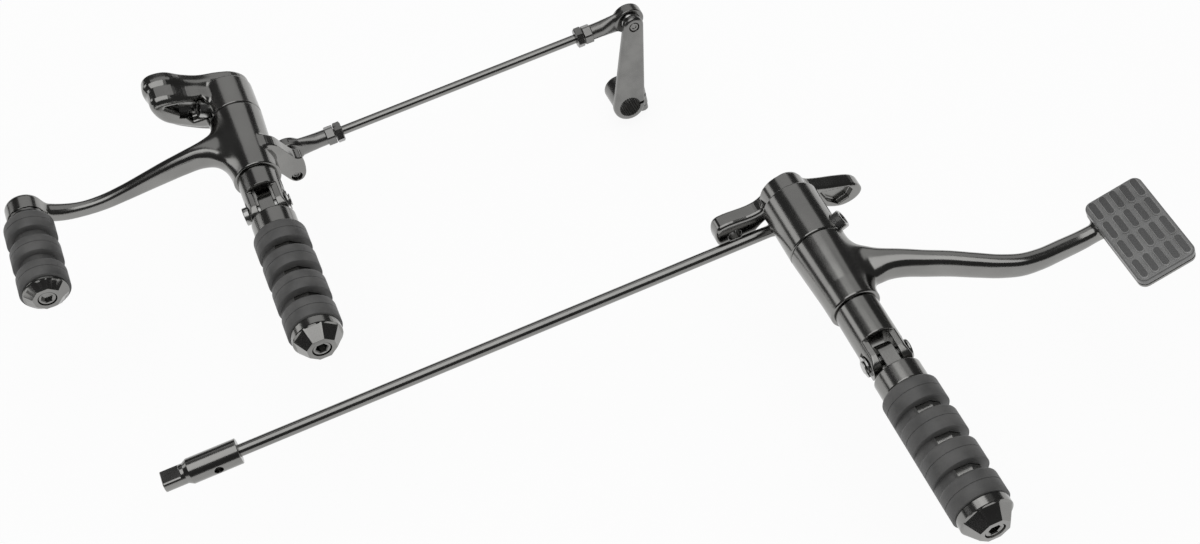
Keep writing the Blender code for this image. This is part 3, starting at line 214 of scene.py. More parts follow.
def joined(surfaces: Sequence[Surface]) -> Surface:
    """Several closed surfaces as one mesh.

    Args:
        surfaces: the surfaces.

    Returns:
        One surface with all their points and faces.
    """
    faces: List[Array] = []
    start = 0
    for surface in surfaces:
        faces += [part + start for part in surface.faces]
        start += len(surface.points)
    points = np.vstack([surface.points for surface in surfaces])
    if all(surface.normals is None for surface in surfaces):
        return Surface(points, faces)
    normals = [np.zeros_like(surface.points) if surface.normals is None else surface.normals
               for surface in surfaces]
    return Surface(points, faces, np.vstack(normals))


def turned(profile: Sequence[Tuple[float, ...]], round_count: int = ROUND, rim: float = 0.0,
           wave: Optional[Callable[[Array, Array], Array]] = None) -> Surface:
    """A profile carried round the z axis.

    The surface is P(u, v) = (r cos u, r sin u, h(v)), where r is the smaller of the profile's
    radius and, if the point has a flat, flat / cos(u folded into one side of the polygon).

    Args:
        profile: points (radius, height) or (radius, height, flat, sides), down the outer side. A
            profile that starts off the axis closes on itself round a bore.
        round_count: steps round the axis.
        rim: radius by which the profile's corners are rounded.
        wave: an offset of the radius, as a function of u and h.

    Returns:
        The closed surface.
    """
    rows = [tuple(p) + (NO_FLAT, 1.0)[len(p) - 2:] if len(p) < 4 else tuple(p) for p in profile]
    closed = rows[0][0] > 0.0
    corners = np.array(rows, float)
    if rim > 0.0:
        corners = rounded_profile(corners, rim, closed)
    radius, height, flat, sides = corners.T
    u = np.linspace(0.0, 2.0 * math.pi, round_count, endpoint=False)[:, None]
    folded = np.mod(u - math.pi / 2.0 + math.pi / sides, 2.0 * math.pi / sides) - math.pi / sides
    limit = np.where(sides > 2.0, flat / np.cos(np.clip(folded, -1.5, 1.5)), NO_FLAT)
    r = np.minimum(radius + np.zeros_like(u), np.where(radius > 0.0, limit, 0.0))
    if wave is not None:
        r = r + np.where(radius > 0.0, wave(u, height), 0.0)
    points = np.stack([r * np.cos(u), r * np.sin(u), height + np.zeros_like(u)], axis=-1)
    count = len(radius)
    i = np.arange(round_count)[:, None]
    j = np.arange(count if closed else count - 1)[None, :]
    i, j = np.broadcast_arrays(i, j)
    i2, j2 = (i + 1) % round_count, (j + 1) % count
    quads = np.stack([i * count + j, i * count + j2, i2 * count + j2, i2 * count + j], axis=-1).reshape(-1, 4)
    return merged(points.reshape(-1, 3), quads)


def merged(points: Array, quads: Array) -> Surface:
    """A grid's points and quads with the points at the same place made one, and flat faces removed.

    Args:
        points: the grid's points.
        quads: four point numbers a face.

    Returns:
        The surface, with quads and triangles.
    """
    keys = np.round(points * 1e7).astype(np.int64)
    _, first, inverse = np.unique(keys, axis=0, return_index=True, return_inverse=True)
    quads = inverse.reshape(-1)[quads]
    same = [quads[:, k] == quads[:, (k + 1) % 4] for k in range(4)]
    flat = (quads[:, 0] == quads[:, 2]) | (quads[:, 1] == quads[:, 3])
    count = np.sum(same, axis=0)
    full = quads[(count == 0) & ~flat]
    threes = quads[(count == 1) & ~flat]
    where = np.stack(same, axis=1)[(count == 1) & ~flat]
    keep = np.argsort(where, axis=1, kind="stable")[:, :3]
    keep.sort(axis=1)
    triangles = np.take_along_axis(threes, keep, axis=1)
    return Surface(points[first], [full, triangles])


def rounded_profile(corners: Array, rim: float, closed: bool, steps: int = 4) -> Array:
    """A profile with its corners cut back and rounded by a quadratic curve.

    Each corner c with neighbours a and b becomes (1-t)^2 p + 2t(1-t) c + t^2 q, with p and q up to
    rim from c towards a and b, and no further than a third of the way.

    Args:
        corners: rows of radius, height, flat and sides.
        rim: how far back to cut.
        closed: whether the last corner joins the first.
        steps: parts of each round.

    Returns:
        The rows of the rounded profile.
    """
    total = len(corners)
    rows = []
    for k, corner in enumerate(corners):
        if not closed and k in (0, total - 1):
            rows.append(corner)
            continue
        a, b = corners[k - 1], corners[(k + 1) % total]
        reach_a, reach_b = np.hypot(*(a - corner)[:2]), np.hypot(*(b - corner)[:2])
        p = corner + (a - corner) * min(rim / max(reach_a, 1e-9), 1.0 / 3.0)
        q = corner + (b - corner) * min(rim / max(reach_b, 1e-9), 1.0 / 3.0)
        p[2:], q[2:] = corner[2:], corner[2:]
        for t in np.linspace(0.0, 1.0, steps + 1):
            rows.append((1.0 - t) ** 2 * p + 2.0 * t * (1.0 - t) * corner + t * t * q)
    return np.array(rows)


CORNERS = np.array([[i, j, k] for i in (0, 1) for j in (0, 1) for k in (0, 1)])
EDGES = [(a, b) for a in range(8) for b in range(a + 1, 8) if np.abs(CORNERS[a] - CORNERS[b]).sum() == 1]


def cast(shape: Field, low: Sequence[float], high: Sequence[float], pitch: float = PITCH) -> Surface:
    """The surface where a field of x, y and z crosses zero; the field is negative inside.

    The box is divided into cells of one pitch. A cell that the surface crosses gets one point, the
    mean of the places where its edges cross zero, moved along the field's gradient g by -f g / |g|^2
    twice. Each grid edge that crosses zero gets a face through its four cells.

    Args:
        shape: the field, which works on arrays that broadcast together.
        low, high: corners of a box that holds the surface.
        pitch: size of a cell.

    Returns:
        The closed surface.
    """
    axes = [np.arange(a - 2.0 * pitch, b + 3.0 * pitch, pitch) for a, b in zip(low, high)]
    x, y, z = np.meshgrid(*axes, indexing="ij", sparse=True)
    value = np.array(np.broadcast_to(shape(x, y, z), tuple(len(a) for a in axes)), np.float32)
    inside = value < 0.0
    nx, ny, nz = (n - 1 for n in inside.shape)
    count = np.zeros((nx, ny, nz), np.uint8)
    for i, j, k in CORNERS:
        count += inside[i:nx + i, j:ny + j, k:nz + k]
    cells = np.argwhere((count > 0) & (count < 8))
    number = np.full(count.shape, -1, np.int32)
    number[tuple(cells.T)] = np.arange(len(cells))
    around = [value[tuple((cells + corner).T)] for corner in CORNERS]
    total = np.zeros((len(cells), 3))
    crossings = np.zeros(len(cells))
    for a, b in EDGES:
        crosses = (around[a] < 0.0) != (around[b] < 0.0)
        t = np.where(crosses, around[a] / np.where(crosses, around[a] - around[b], 1.0), 0.0)
        place = CORNERS[a] + t[:, None] * (CORNERS[b] - CORNERS[a])
        total += np.where(crosses[:, None], place, 0.0)
        crossings += crosses
    start = np.array([a[0] for a in axes])
    points = start + (cells + total / crossings[:, None]) * pitch
    points = drawn_to_surface(shape, points, pitch)
    slope = gradient(shape, points, pitch)
    steep = np.linalg.norm(slope, axis=1, keepdims=True)
    normals = np.where(steep > SLOPE_KNOWN, slope / np.maximum(steep, 1e-9), 0.0)
    return Surface(points, faces_between(inside, number), normals)


def faces_between(inside: Array, number: Array) -> List[Array]:
    """The faces across the grid edges that run from inside to outside.

    Args:
        inside: whether each grid point is inside.
        number: each cell's point number.

    Returns:
        Four point numbers a face, by axis.
    """
    faces = []
    steps = np.eye(3, dtype=int)
    for axis in range(3):
        side = np.diff(inside.astype(np.int8), axis=axis)
        at = np.argwhere(side != 0)
        sign = side[tuple(at.T)]
        b, c = steps[(axis + 1) % 3], steps[(axis + 2) % 3]
        quads = np.stack([number[tuple((at - offset).T)] for offset in (b + c, c, 0 * c, b)], axis=1)
        faces.append(np.where(sign[:, None] < 0, quads, quads[:, ::-1]))
    return faces


def gradient(shape: Field, points: Array, pitch: float) -> Array:
    """The field's slope at points, from its values a small share of a pitch to either side.

    Args:
        shape: the field.
        points: the points.
        pitch: size of a cell.

    Returns:
        One slope a point.
    """
    x, y, z = points.T
    reach = pitch * SLOPE_REACH
    return np.stack([shape(x + reach, y, z) - shape(x - reach, y, z),
                     shape(x, y + reach, z) - shape(x, y - reach, z),
                     shape(x, y, z + reach) - shape(x, y, z - reach)], axis=1) / (2.0 * reach)


def drawn_to_surface(shape: Field, points: Array, pitch: float) -> Array:
    """Points moved onto the field's zero surface along its gradient, by at most half a pitch a step.

    Args:
        shape: the field.
        points: the points.
        pitch: size of a cell.

    Returns:
        The moved points.
    """
    for _ in range(2):
        value = shape(*points.T)
        slope = gradient(shape, points, pitch)
        steep = np.maximum((slope ** 2).sum(axis=1), SLOPE_LEAST)
        step = -(value / steep)[:, None] * slope
        size = np.maximum(np.linalg.norm(step, axis=1), 1e-12)
        points = points + step * np.minimum(1.0, 0.5 * pitch / size)[:, None]
    return points


def solid_round(across: Array, along: Array, radius: float, low: float, high: float,
                rim: float = 0.0) -> Array:
    """The signed distance to a cylinder: across is the distance from its axis, along runs with it."""
    return slab(across - radius, along, low, high, rim)


def slab(flat: Array, along: Array, low: float, high: float, rim: float = 0.0) -> Array:
    """A plane outline's signed distance carried from low to high, with rounded edges."""
    end = np.abs(along - (low + high) / 2.0) - ((high - low) / 2.0 - rim)
    return overlap(flat + rim, end) - rim


def overlap(a: Array, b: Array) -> Array:
    """The distance to where two half spaces overlap: hypot of the positive parts, or the larger inside."""
    return np.hypot(np.maximum(a, 0.0), np.maximum(b, 0.0)) + np.minimum(np.maximum(a, b), 0.0)


def outline_distance(x: Array, y: Array, outline: Array) -> Array:
    """The signed distance in the plane to a closed outline: the nearest of its edges, negative inside.

    Args:
        x, y: coordinates in the plane.
        outline: the outline's corners.

    Returns:
        The distance, negative inside.
    """
    nearest = np.full(np.broadcast(x, y).shape, np.inf)
    inside = np.zeros(nearest.shape, bool)
    for (ax, ay), (bx, by) in zip(outline, np.roll(outline, -1, axis=0)):
        ex, ey = bx - ax, by - ay
        px, py = x - ax, y - ay
        t = np.clip((px * ex + py * ey) / (ex * ex + ey * ey), 0.0, 1.0)
        nearest = np.minimum(nearest, (px - t * ex) ** 2 + (py - t * ey) ** 2)
        if ay != by:
            inside ^= ((ay > y) != (by > y)) & (x < ex * (y - ay) / (by - ay) + ax)
    return np.where(inside, -1.0, 1.0) * np.sqrt(nearest)


def smooth_curve(points: Sequence[Sequence[float]], count: int = 5) -> Array:
    """A closed Catmull-Rom curve through points of the plane.

    Args:
        points: the points that it runs through.
        count: steps between two points.

    Returns:
        The curve's points.
    """
    p = np.array(points, float)
    a, b, c, d = (np.roll(p, k, axis=0)[:, None, :] for k in (1, 0, -1, -2))
    t = (np.arange(count) / count)[None, :, None]
    curve = 0.5 * (2.0 * b + (c - a) * t + (2.0 * a - 5.0 * b + 4.0 * c - d) * t ** 2
                   + (3.0 * b - a - 3.0 * c + d) * t ** 3)
    return curve.reshape(-1, 2)


def blend(a: Array, b: Array, fillet: float) -> Array:
    """The union of two fields with a fillet: min(a, b) - h^2 fillet / 4, h = 1 - |a - b| / fillet."""
    h = np.maximum(fillet - np.abs(a - b), 0.0) / fillet
    return np.minimum(a, b) - h * h * fillet / 4.0


def cut(a: Array, b: Array, fillet: float = 0.0004) -> Array:
    """The first field with the second taken out, its edge broken by a small round."""
    return -blend(-a, b, fillet)


def capsule(x: Array, y: Array, first: Sequence[float], first_radius: float,
            second: Sequence[float], second_radius: float) -> Array:
    """The distance in the plane to two circles and what lies between their outer tangents.

    Args:
        x, y: coordinates in the plane.
        first, second: the circles' centres.
        first_radius, second_radius: their radii.

    Returns:
        The distance, negative inside.
    """
    ex, ey = second[0] - first[0], second[1] - first[1]
    reach = math.hypot(ex, ey)
    along = ((x - first[0]) * ex + (y - first[1]) * ey) / reach
    across = np.abs((x - first[0]) * ey - (y - first[1]) * ex) / reach
    lean = (first_radius - second_radius) / reach
    slant = math.sqrt(1.0 - lean * lean)
    k = along * slant - across * lean
    near = np.hypot(along, across) - first_radius
    far = np.hypot(along - reach, across) - second_radius
    side = along * lean + across * slant - first_radius
    return np.where(k < 0.0, near, np.where(k > reach * slant, far, side))


@dataclass(frozen=True)
class Arm:
    """A swept arm whose path runs along x: rows of (x, y, z, half height, half width, squareness)."""

    stations: Tuple[Tuple[float, ...], ...]
    slope_steps: int = 160

    def distance(self, x: Array, y: Array, z: Array) -> Array:
        """About the distance to the arm.

        At each x the section is a superellipse (|dy / h|^n + |dz / w|^n)^(1/n) = 1 round the path,
        with dy and dz shortened by the cosine of the path's slope.

        Args:
            x, y, z: coordinates in this frame.

        Returns:
            The field: distances in metres, negative inside.
        """
        rows = np.array(sorted(self.stations))
        fine = np.linspace(rows[0, 0], rows[-1, 0], self.slope_steps)
        slopes = [np.gradient(cubic(fine, rows[:, 0], rows[:, k]), fine) for k in (1, 2)]
        within = np.clip(x, rows[0, 0], rows[-1, 0])
        yc, zc, h, w, n = (cubic(within, rows[:, 0], rows[:, k]) for k in range(1, 6))
        rise, run = (np.interp(x, fine, row) for row in slopes)
        dy = np.abs(y - yc) / np.sqrt(1.0 + rise ** 2)
        dz = np.abs(z - zc) / np.sqrt(1.0 + run ** 2)
        shape = ((dy / h) ** n + (dz / w) ** n) ** (1.0 / n)
        body = (shape - 1.0) * np.minimum(h, w)
        ends = np.maximum(rows[0, 0] - x, x - rows[-1, 0])
        return np.maximum(body, ends)


def cubic(at: Array, x: Array, y: Array) -> Array:
    """A cubic Hermite curve through (x, y), with slopes from the neighbours on both sides.

    Args:
        at: where to read the curve.
        x, y: its points, with x rising.

    Returns:
        Its values.
    """
    slope = np.gradient(y, x)
    k = np.clip(np.searchsorted(x, at) - 1, 0, len(x) - 2)
    step = x[k + 1] - x[k]
    t = (at - x[k]) / step
    return ((2 * t ** 3 - 3 * t ** 2 + 1) * y[k] + (t ** 3 - 2 * t ** 2 + t) * step * slope[k]
            + (3 * t ** 2 - 2 * t ** 3) * y[k + 1] + (t ** 3 - t ** 2) * step * slope[k + 1])


def add_node(tree: bpy.types.NodeTree, kind: str, operation: str = "", **values: float) -> bpy.types.Node:
    """Adds a shader node, with its inputs' values by name and an underscore for each space.

    Args:
        tree: the node tree.
        kind: the node's type, without its first word.
        operation: what the node does, for a kind that has a choice.
        values: the inputs' values.

    Returns:
        The node.
    """
    made = tree.nodes.new("ShaderNode" + kind)
    if operation:
        made.operation = operation
    for name, value in values.items():
        made.inputs[name.replace("_", " ")].default_value = value
    return made


def add_ramp(tree: bpy.types.NodeTree, stops: Sequence[Tuple[float, Sequence[float]]]) -> bpy.types.Node:
    """Adds a colour ramp.

    Args:
        tree: the node tree.
        stops: each stop's place and colour.

    Returns:
        The node.
    """
    ramp = add_node(tree, "ValToRGB")
    while len(ramp.color_ramp.elements) < len(stops):
        ramp.color_ramp.elements.new(1.0)
    for k, (place, colour) in enumerate(stops):
        ramp.color_ramp.elements[k].position = place
        ramp.color_ramp.elements[k].color = (*colour, 1.0)
    return ramp


def wire(tree: bpy.types.NodeTree,
         *links: Tuple[bpy.types.Node, str, bpy.types.Node, Union[str, int]]) -> None:
    """Links nodes, each link being a node and its output, then a node and its input."""
    for source, output, target, entry in links:
        tree.links.new(source.outputs[output], target.inputs[entry])


@dataclass(frozen=True)
class Finish:
    """A surface finish: two close tones, a roughness range and fine bumps, all from noise."""

    name: str
    slot: Slot
    dark: Tuple[float, float, float]
    light: Tuple[float, float, float]
    metallic: float
    roughness: Tuple[float, float]
    tone_scale: float
    bump_scale: float
    bump_depth: float
    bump_strength: float
    stretch: Point = (1.0, 1.0, 1.0)
    specular: float = 0.5
    # Levels of painted light over raised work, from its floor to its tops: painted sheen, painted highlights
    # and painted shade
    painted_relief_light: Tuple[float, ...] = ()

    def material(self) -> bpy.types.Material:
        """The finish as nodes: cloudy noise sets tone and roughness, and fine noise the bumps.

        Returns:
            The material.
        """
        made = bpy.data.materials.new(self.name)
        made.use_nodes = True
        tree = made.node_tree
        shader = tree.nodes["Principled BSDF"]
        shader.inputs["Metallic"].default_value = self.metallic
        shader.inputs["Specular IOR Level"].default_value = self.specular
        where = add_node(tree, "TexCoord")
        cloud = add_node(tree, "TexNoise", Scale=self.tone_scale, Detail=4.0)
        tone = add_ramp(tree, list(zip(CLOUD_RANGE, (self.dark, self.light))))
        rough = add_node(tree, "MapRange", From_Min=CLOUD_RANGE[0], From_Max=CLOUD_RANGE[1],
                         To_Min=self.roughness[0], To_Max=self.roughness[1])
        drawn = add_node(tree, "VectorMath", "MULTIPLY")
        drawn.inputs[1].default_value = self.stretch
        grain = add_node(tree, "TexNoise", Scale=self.bump_scale, Detail=3.0)
        bump = add_node(tree, "Bump", Strength=self.bump_strength, Distance=self.bump_depth)
        wire(tree, (where, "Object", cloud, "Vector"), (cloud, "Fac", tone, "Fac"),
             (tone, "Color", shader, "Base Color"), (cloud, "Fac", rough, "Value"),
             (rough, "Result", shader, "Roughness"), (where, "Object", drawn, 0),
             (drawn, "Vector", grain, "Vector"), (grain, "Fac", bump, "Height"),
             (bump, "Normal", shader, "Normal"))
        # Painted highlights and painted shade over raised work, where the finish has levels for them
        if self.painted_relief_light:
            self.paint_relief_light(tree, tone, shader)
        return made

    def paint_relief_light(self, tree: bpy.types.NodeTree, tone: bpy.types.Node, shader: bpy.types.Node) -> None:
        """Multiplies the tone by painted light levels for the floor, the flanks and the tops of the raised
        work: a painted sheen, painted highlights and painted shade.

        Args:
            tree: the node tree.
            tone: the node with the finish's tone.
            shader: the shader.
        """
        height = add_node(tree, "Attribute")
        height.attribute_name = "painted_relief_light"
        places = np.linspace(0.0, 1.0, len(self.painted_relief_light))
        ramp = add_ramp(tree, [(place, (level, level, level)) for place, level in zip(places, self.painted_relief_light)])
        product = add_node(tree, "VectorMath", "MULTIPLY")
        wire(tree, (height, "Fac", ramp, "Fac"), (tone, "Color", product, 0), (ramp, "Color", product, 1),
             (product, "Vector", shader, "Base Color"))


GLOSS_METAL = Finish("gloss_black_coat", Slot.GLOSS, dark=(0.235, 0.233, 0.226),
                     light=(0.275, 0.273, 0.264), metallic=1.0, roughness=(0.17, 0.22),
                     tone_scale=40.0, bump_scale=300.0, bump_depth=0.0001, bump_strength=0.006)
SATIN_METAL = Finish("satin_black_coat", Slot.SATIN, dark=(0.200, 0.199, 0.194),
                     light=(0.250, 0.248, 0.241), metallic=1.0, roughness=(0.24, 0.32),
                     tone_scale=90.0, bump_scale=1400.0, bump_depth=0.0001, bump_strength=0.10)
DARK_STEEL = Finish("dark_oiled_steel", Slot.STEEL, dark=(0.36, 0.36, 0.352),
                    light=(0.46, 0.46, 0.450), metallic=1.0, roughness=(0.20, 0.30),
                    tone_scale=120.0, bump_scale=1800.0, bump_depth=0.0001, bump_strength=0.08)
# The pegs' rubber has fine lines that run round it
RUBBER = Finish("black_moulded_rubber", Slot.RUBBER, dark=(0.070, 0.070, 0.069),
                light=(0.102, 0.101, 0.099), metallic=0.0, roughness=(0.42, 0.56),
                tone_scale=70.0, bump_scale=1500.0, bump_depth=0.0003, bump_strength=0.35,
                stretch=(0.06, 1.0, 0.06))
# The pad's black rubber is painted grey on its floor as a painted sheen, and its bars get painted highlights
# on their edges and painted shade on their tops
PAD_RUBBER = Finish("black_rubber_painted_sheen", Slot.RUBBER, dark=(0.30, 0.30, 0.295),
                    light=(0.42, 0.42, 0.415), metallic=0.0, roughness=(0.22, 0.30),
                    tone_scale=90.0, bump_scale=1800.0, bump_depth=0.0002, bump_strength=0.12,
                    specular=0.8, painted_relief_light=(0.36, 0.42, 0.75, 1.0, 0.10, 0.07))


def shade_exactly(mesh: bpy.types.Mesh, normals: Array) -> None:
    """Gives a mesh's corners the normals known at its points; a zero normal leaves the mesh's own.

    Args:
        mesh: the mesh.
        normals: a normal for each point.
    """
    shaded = np.empty(3 * len(mesh.loops), np.float32)
    mesh.corner_normals.foreach_get("vector", shaded)
    at = np.empty(len(mesh.loops), np.int32)
    mesh.loops.foreach_get("vertex_index", at)
    known = normals[at]
    exact = (known != 0.0).any(axis=1, keepdims=True)
    mesh.normals_split_custom_set(np.where(exact, known, shaded.reshape(-1, 3)).tolist())


class Maker:
    """Puts surfaces into the scene and dresses them, and keeps account of the CAD nodes."""

    def __init__(self, nodes: Dict[str, bpy.types.Object]) -> None:
        """Takes the frame's CAD nodes.

        Args:
            nodes: the frame's objects by node name.
        """
        self.nodes = nodes
        self.materials: Dict[str, bpy.types.Material] = {}
        self.dressed: List[str] = []

    def material(self, finish: Finish) -> bpy.types.Material:
        """A finish's material, made once.

        Args:
            finish: the finish.

        Returns:
            The material.
        """
        if finish.name not in self.materials:
            self.materials[finish.name] = finish.material()
        return self.materials[finish.name]

    def piece(self, node: str, surface: Surface, finish: Finish, sharp: float = SHARP,
              painted_relief_light: Optional[Array] = None) -> None:
        """Adds the fine surface that stands for a CAD node.

        Args:
            node: the CAD node, whose body the piece rides on.
            surface: the piece in world space.
            finish: its finish.
            sharp: degrees between faces past which an edge stays crisp.
            painted_relief_light: how far each point stands up out of the ground of its raised work, 0 to 1,
                which sets the finish's painted highlights and painted shade.
        """
        mesh = bpy.data.meshes.new(node + "_fine")
        faces = [part.tolist() for part in surface.faces if len(part)]
        mesh.from_pydata(surface.points, [], [face for part in faces for face in part])
        if painted_relief_light is not None:
            height = mesh.attributes.new("painted_relief_light", "FLOAT", "POINT")
            height.data.foreach_set("value", painted_relief_light.astype(np.float32))
        mesh.validate()
        mesh.shade_smooth()
        mesh.set_sharp_from_angle(angle=math.radians(sharp))
        if surface.normals is not None:
            shade_exactly(mesh, surface.normals)
        mesh.materials.append(self.material(finish))
        item = bpy.data.objects.new(node + "_fine", mesh)
        bpy.context.scene.collection.objects.link(item)
        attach(item, self.nodes[node]["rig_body"])
        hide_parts(node)
        self.dressed.append(node)
        log.info("%s: %d points", item.name, len(surface.points))

    def keep(self, node: str, finish: Finish) -> None:
        """Shows a CAD node as it is, with smooth shading and a finish.

        Args:
            node: the CAD node.
            finish: its finish.
        """
        item = self.nodes[node]
        item.data.materials.clear()
        item.data.materials.append(self.material(finish))
        item.data.polygons.foreach_set("use_smooth", np.ones(len(item.data.polygons), bool))
        weld = item.modifiers.new("weld", "WELD")
        weld.merge_threshold = WELD_REACH
        split = item.modifiers.new("edges", "EDGE_SPLIT")
        split.split_angle = math.radians(KEPT_SHARP)
        self.dressed.append(node)
        log.info("%s: kept", node)


def pose(right: Array, back: Array, at: Point) -> Matrix:
    """The matrix of a camera or lamp whose x axis is right and whose z axis is back, at a place.

    Args:
        right, back: unit directions at right angles.
        at: the place.

    Returns:
        The matrix.
    """
    matrix = np.eye(4)
    matrix[:3] = np.column_stack([right, np.cross(back, right), back, at])
    return Matrix(matrix.tolist())


@dataclass(frozen=True)
class Lamp:
    """A soft rectangular lamp, given by its place, what it is aimed at, its size and its watts."""

    name: str
    at: Point
    aim: Point
    size: Tuple[float, float]
    power: float

    def build(self) -> None:
        """Hangs the lamp."""
        data = bpy.data.lights.new(self.name, "AREA")
        data.shape = "RECTANGLE"
        data.size, data.size_y = self.size
        data.energy = self.power
        item = bpy.data.objects.new(self.name, data)
        bpy.context.scene.collection.objects.link(item)
        back = np.array(self.at) - np.array(self.aim)
        back /= np.linalg.norm(back)
        right = np.cross((0.0, 1.0, 0.0), back)
        item.matrix_world = pose(right / np.linalg.norm(right), back, self.at)


# Long round parts show the first two lamps as bands
LAMPS = (Lamp("overhead", (0.1, -0.45, 1.6), (0.1, -0.45, 0.0), (1.5, 1.7), 11.0),
         Lamp("behind", (0.8, 1.25, 1.6), (0.15, -0.2, 0.0), (2.2, 1.7), 6.5),
         Lamp("side", (-1.5, 0.9, 0.75), (0.1, -0.2, 0.0), (0.8, 0.8), 2.4))


@dataclass
class Stage:
    """The floor, the sky, the lamps and the camera."""

    camera_at: Point = (0.0761, -0.9112, 0.8639)
    camera_right: Point = (0.918, -0.373, -0.136)
    camera_up: Point = (0.378, 0.718, 0.585)
    lens: float = 53.17
    floor_drop: float = 0.002
    floor_half: float = 6.0
    floor_colour: float = 0.86
    floor_glow: float = 0.92
    sky_strength: float = 0.50
    sky_in_gloss: float = 0.06

    def build(self, lowest: float) -> None:
        """Builds them all, with the floor just below the object's lowest point.

        Args:
            lowest: the object's lowest height.
        """
        self.camera()
        self.floor(lowest - self.floor_drop)
        self.sky()
        for lamp in LAMPS:
            lamp.build()

    def camera(self) -> None:
        """The camera at the photograph's place and angle."""
        data = bpy.data.cameras.new("camera")
        data.lens = self.lens
        data.sensor_width = 36.0
        item = bpy.data.objects.new("camera", data)
        bpy.context.scene.collection.objects.link(item)
        right = np.array(self.camera_right) / np.linalg.norm(self.camera_right)
        back = np.cross(right, np.array(self.camera_up))
        item.matrix_world = pose(right, back / np.linalg.norm(back), self.camera_at)
        bpy.context.scene.camera = item

    def floor(self, height: float) -> None:
        """A white floor that shows plain white to the camera and in gloss, and keeps a soft shadow.

        Args:
            height: the floor's height.
        """
        half = self.floor_half
        mesh = bpy.data.meshes.new("floor")
        corners = [(-half, -half, height), (half, -half, height), (half, half, height), (-half, half, height)]
        mesh.from_pydata(corners, [], [(0, 1, 2, 3)])
        item = bpy.data.objects.new("floor", mesh)
        bpy.context.scene.collection.objects.link(item)
        made = bpy.data.materials.new("white_table")
        made.use_nodes = True
        tree = made.node_tree
        shader = tree.nodes["Principled BSDF"]
        shader.inputs["Base Color"].default_value = (*[self.floor_colour] * 3, 1.0)
        shader.inputs["Roughness"].default_value = 0.9
        shader.inputs["Specular IOR Level"].default_value = 0.0
        glow = add_node(tree, "Emission", Strength=1.0)
        seen = add_node(tree, "LightPath")
        either, both = add_node(tree, "Math", "MAXIMUM"), add_node(tree, "Math", "MAXIMUM")
        share = add_node(tree, "Math", "MULTIPLY")
        share.inputs[1].default_value = self.floor_glow
        mix = add_node(tree, "MixShader")
        wire(tree, (seen, "Is Camera Ray", either, 0), (seen, "Is Glossy Ray", either, 1),
             (either, "Value", both, 0), (seen, "Is Transmission Ray", both, 1), (both, "Value", share, 0),
             (share, "Value", mix, "Fac"), (shader, "BSDF", mix, 1), (glow, "Emission", mix, 2),
             (mix, "Shader", tree.nodes["Material Output"], "Surface"))
        mesh.materials.append(made)
        item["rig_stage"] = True

    def sky(self) -> None:
        """A plain pale world that shows white to the camera and stays dim in gloss, like a dark room."""
        world = bpy.data.worlds.new("studio")
        world.use_nodes = True
        bpy.context.scene.world = world
        tree = world.node_tree
        background = tree.nodes["Background"]
        background.inputs["Color"].default_value = (1.0, 1.0, 1.0, 1.0)
        seen = add_node(tree, "LightPath")
        level = add_node(tree, "MapRange", To_Min=self.sky_strength, To_Max=self.sky_in_gloss)
        shown = add_node(tree, "Math", "MAXIMUM")
        wire(tree, (seen, "Is Glossy Ray", level, "Value"), (level, "Result", shown, 0),
             (seen, "Is Camera Ray", shown, 1), (shown, "Value", background, "Strength"))


# How far the lock screws lean up from level
SCREW_TILT = math.radians(29.0)


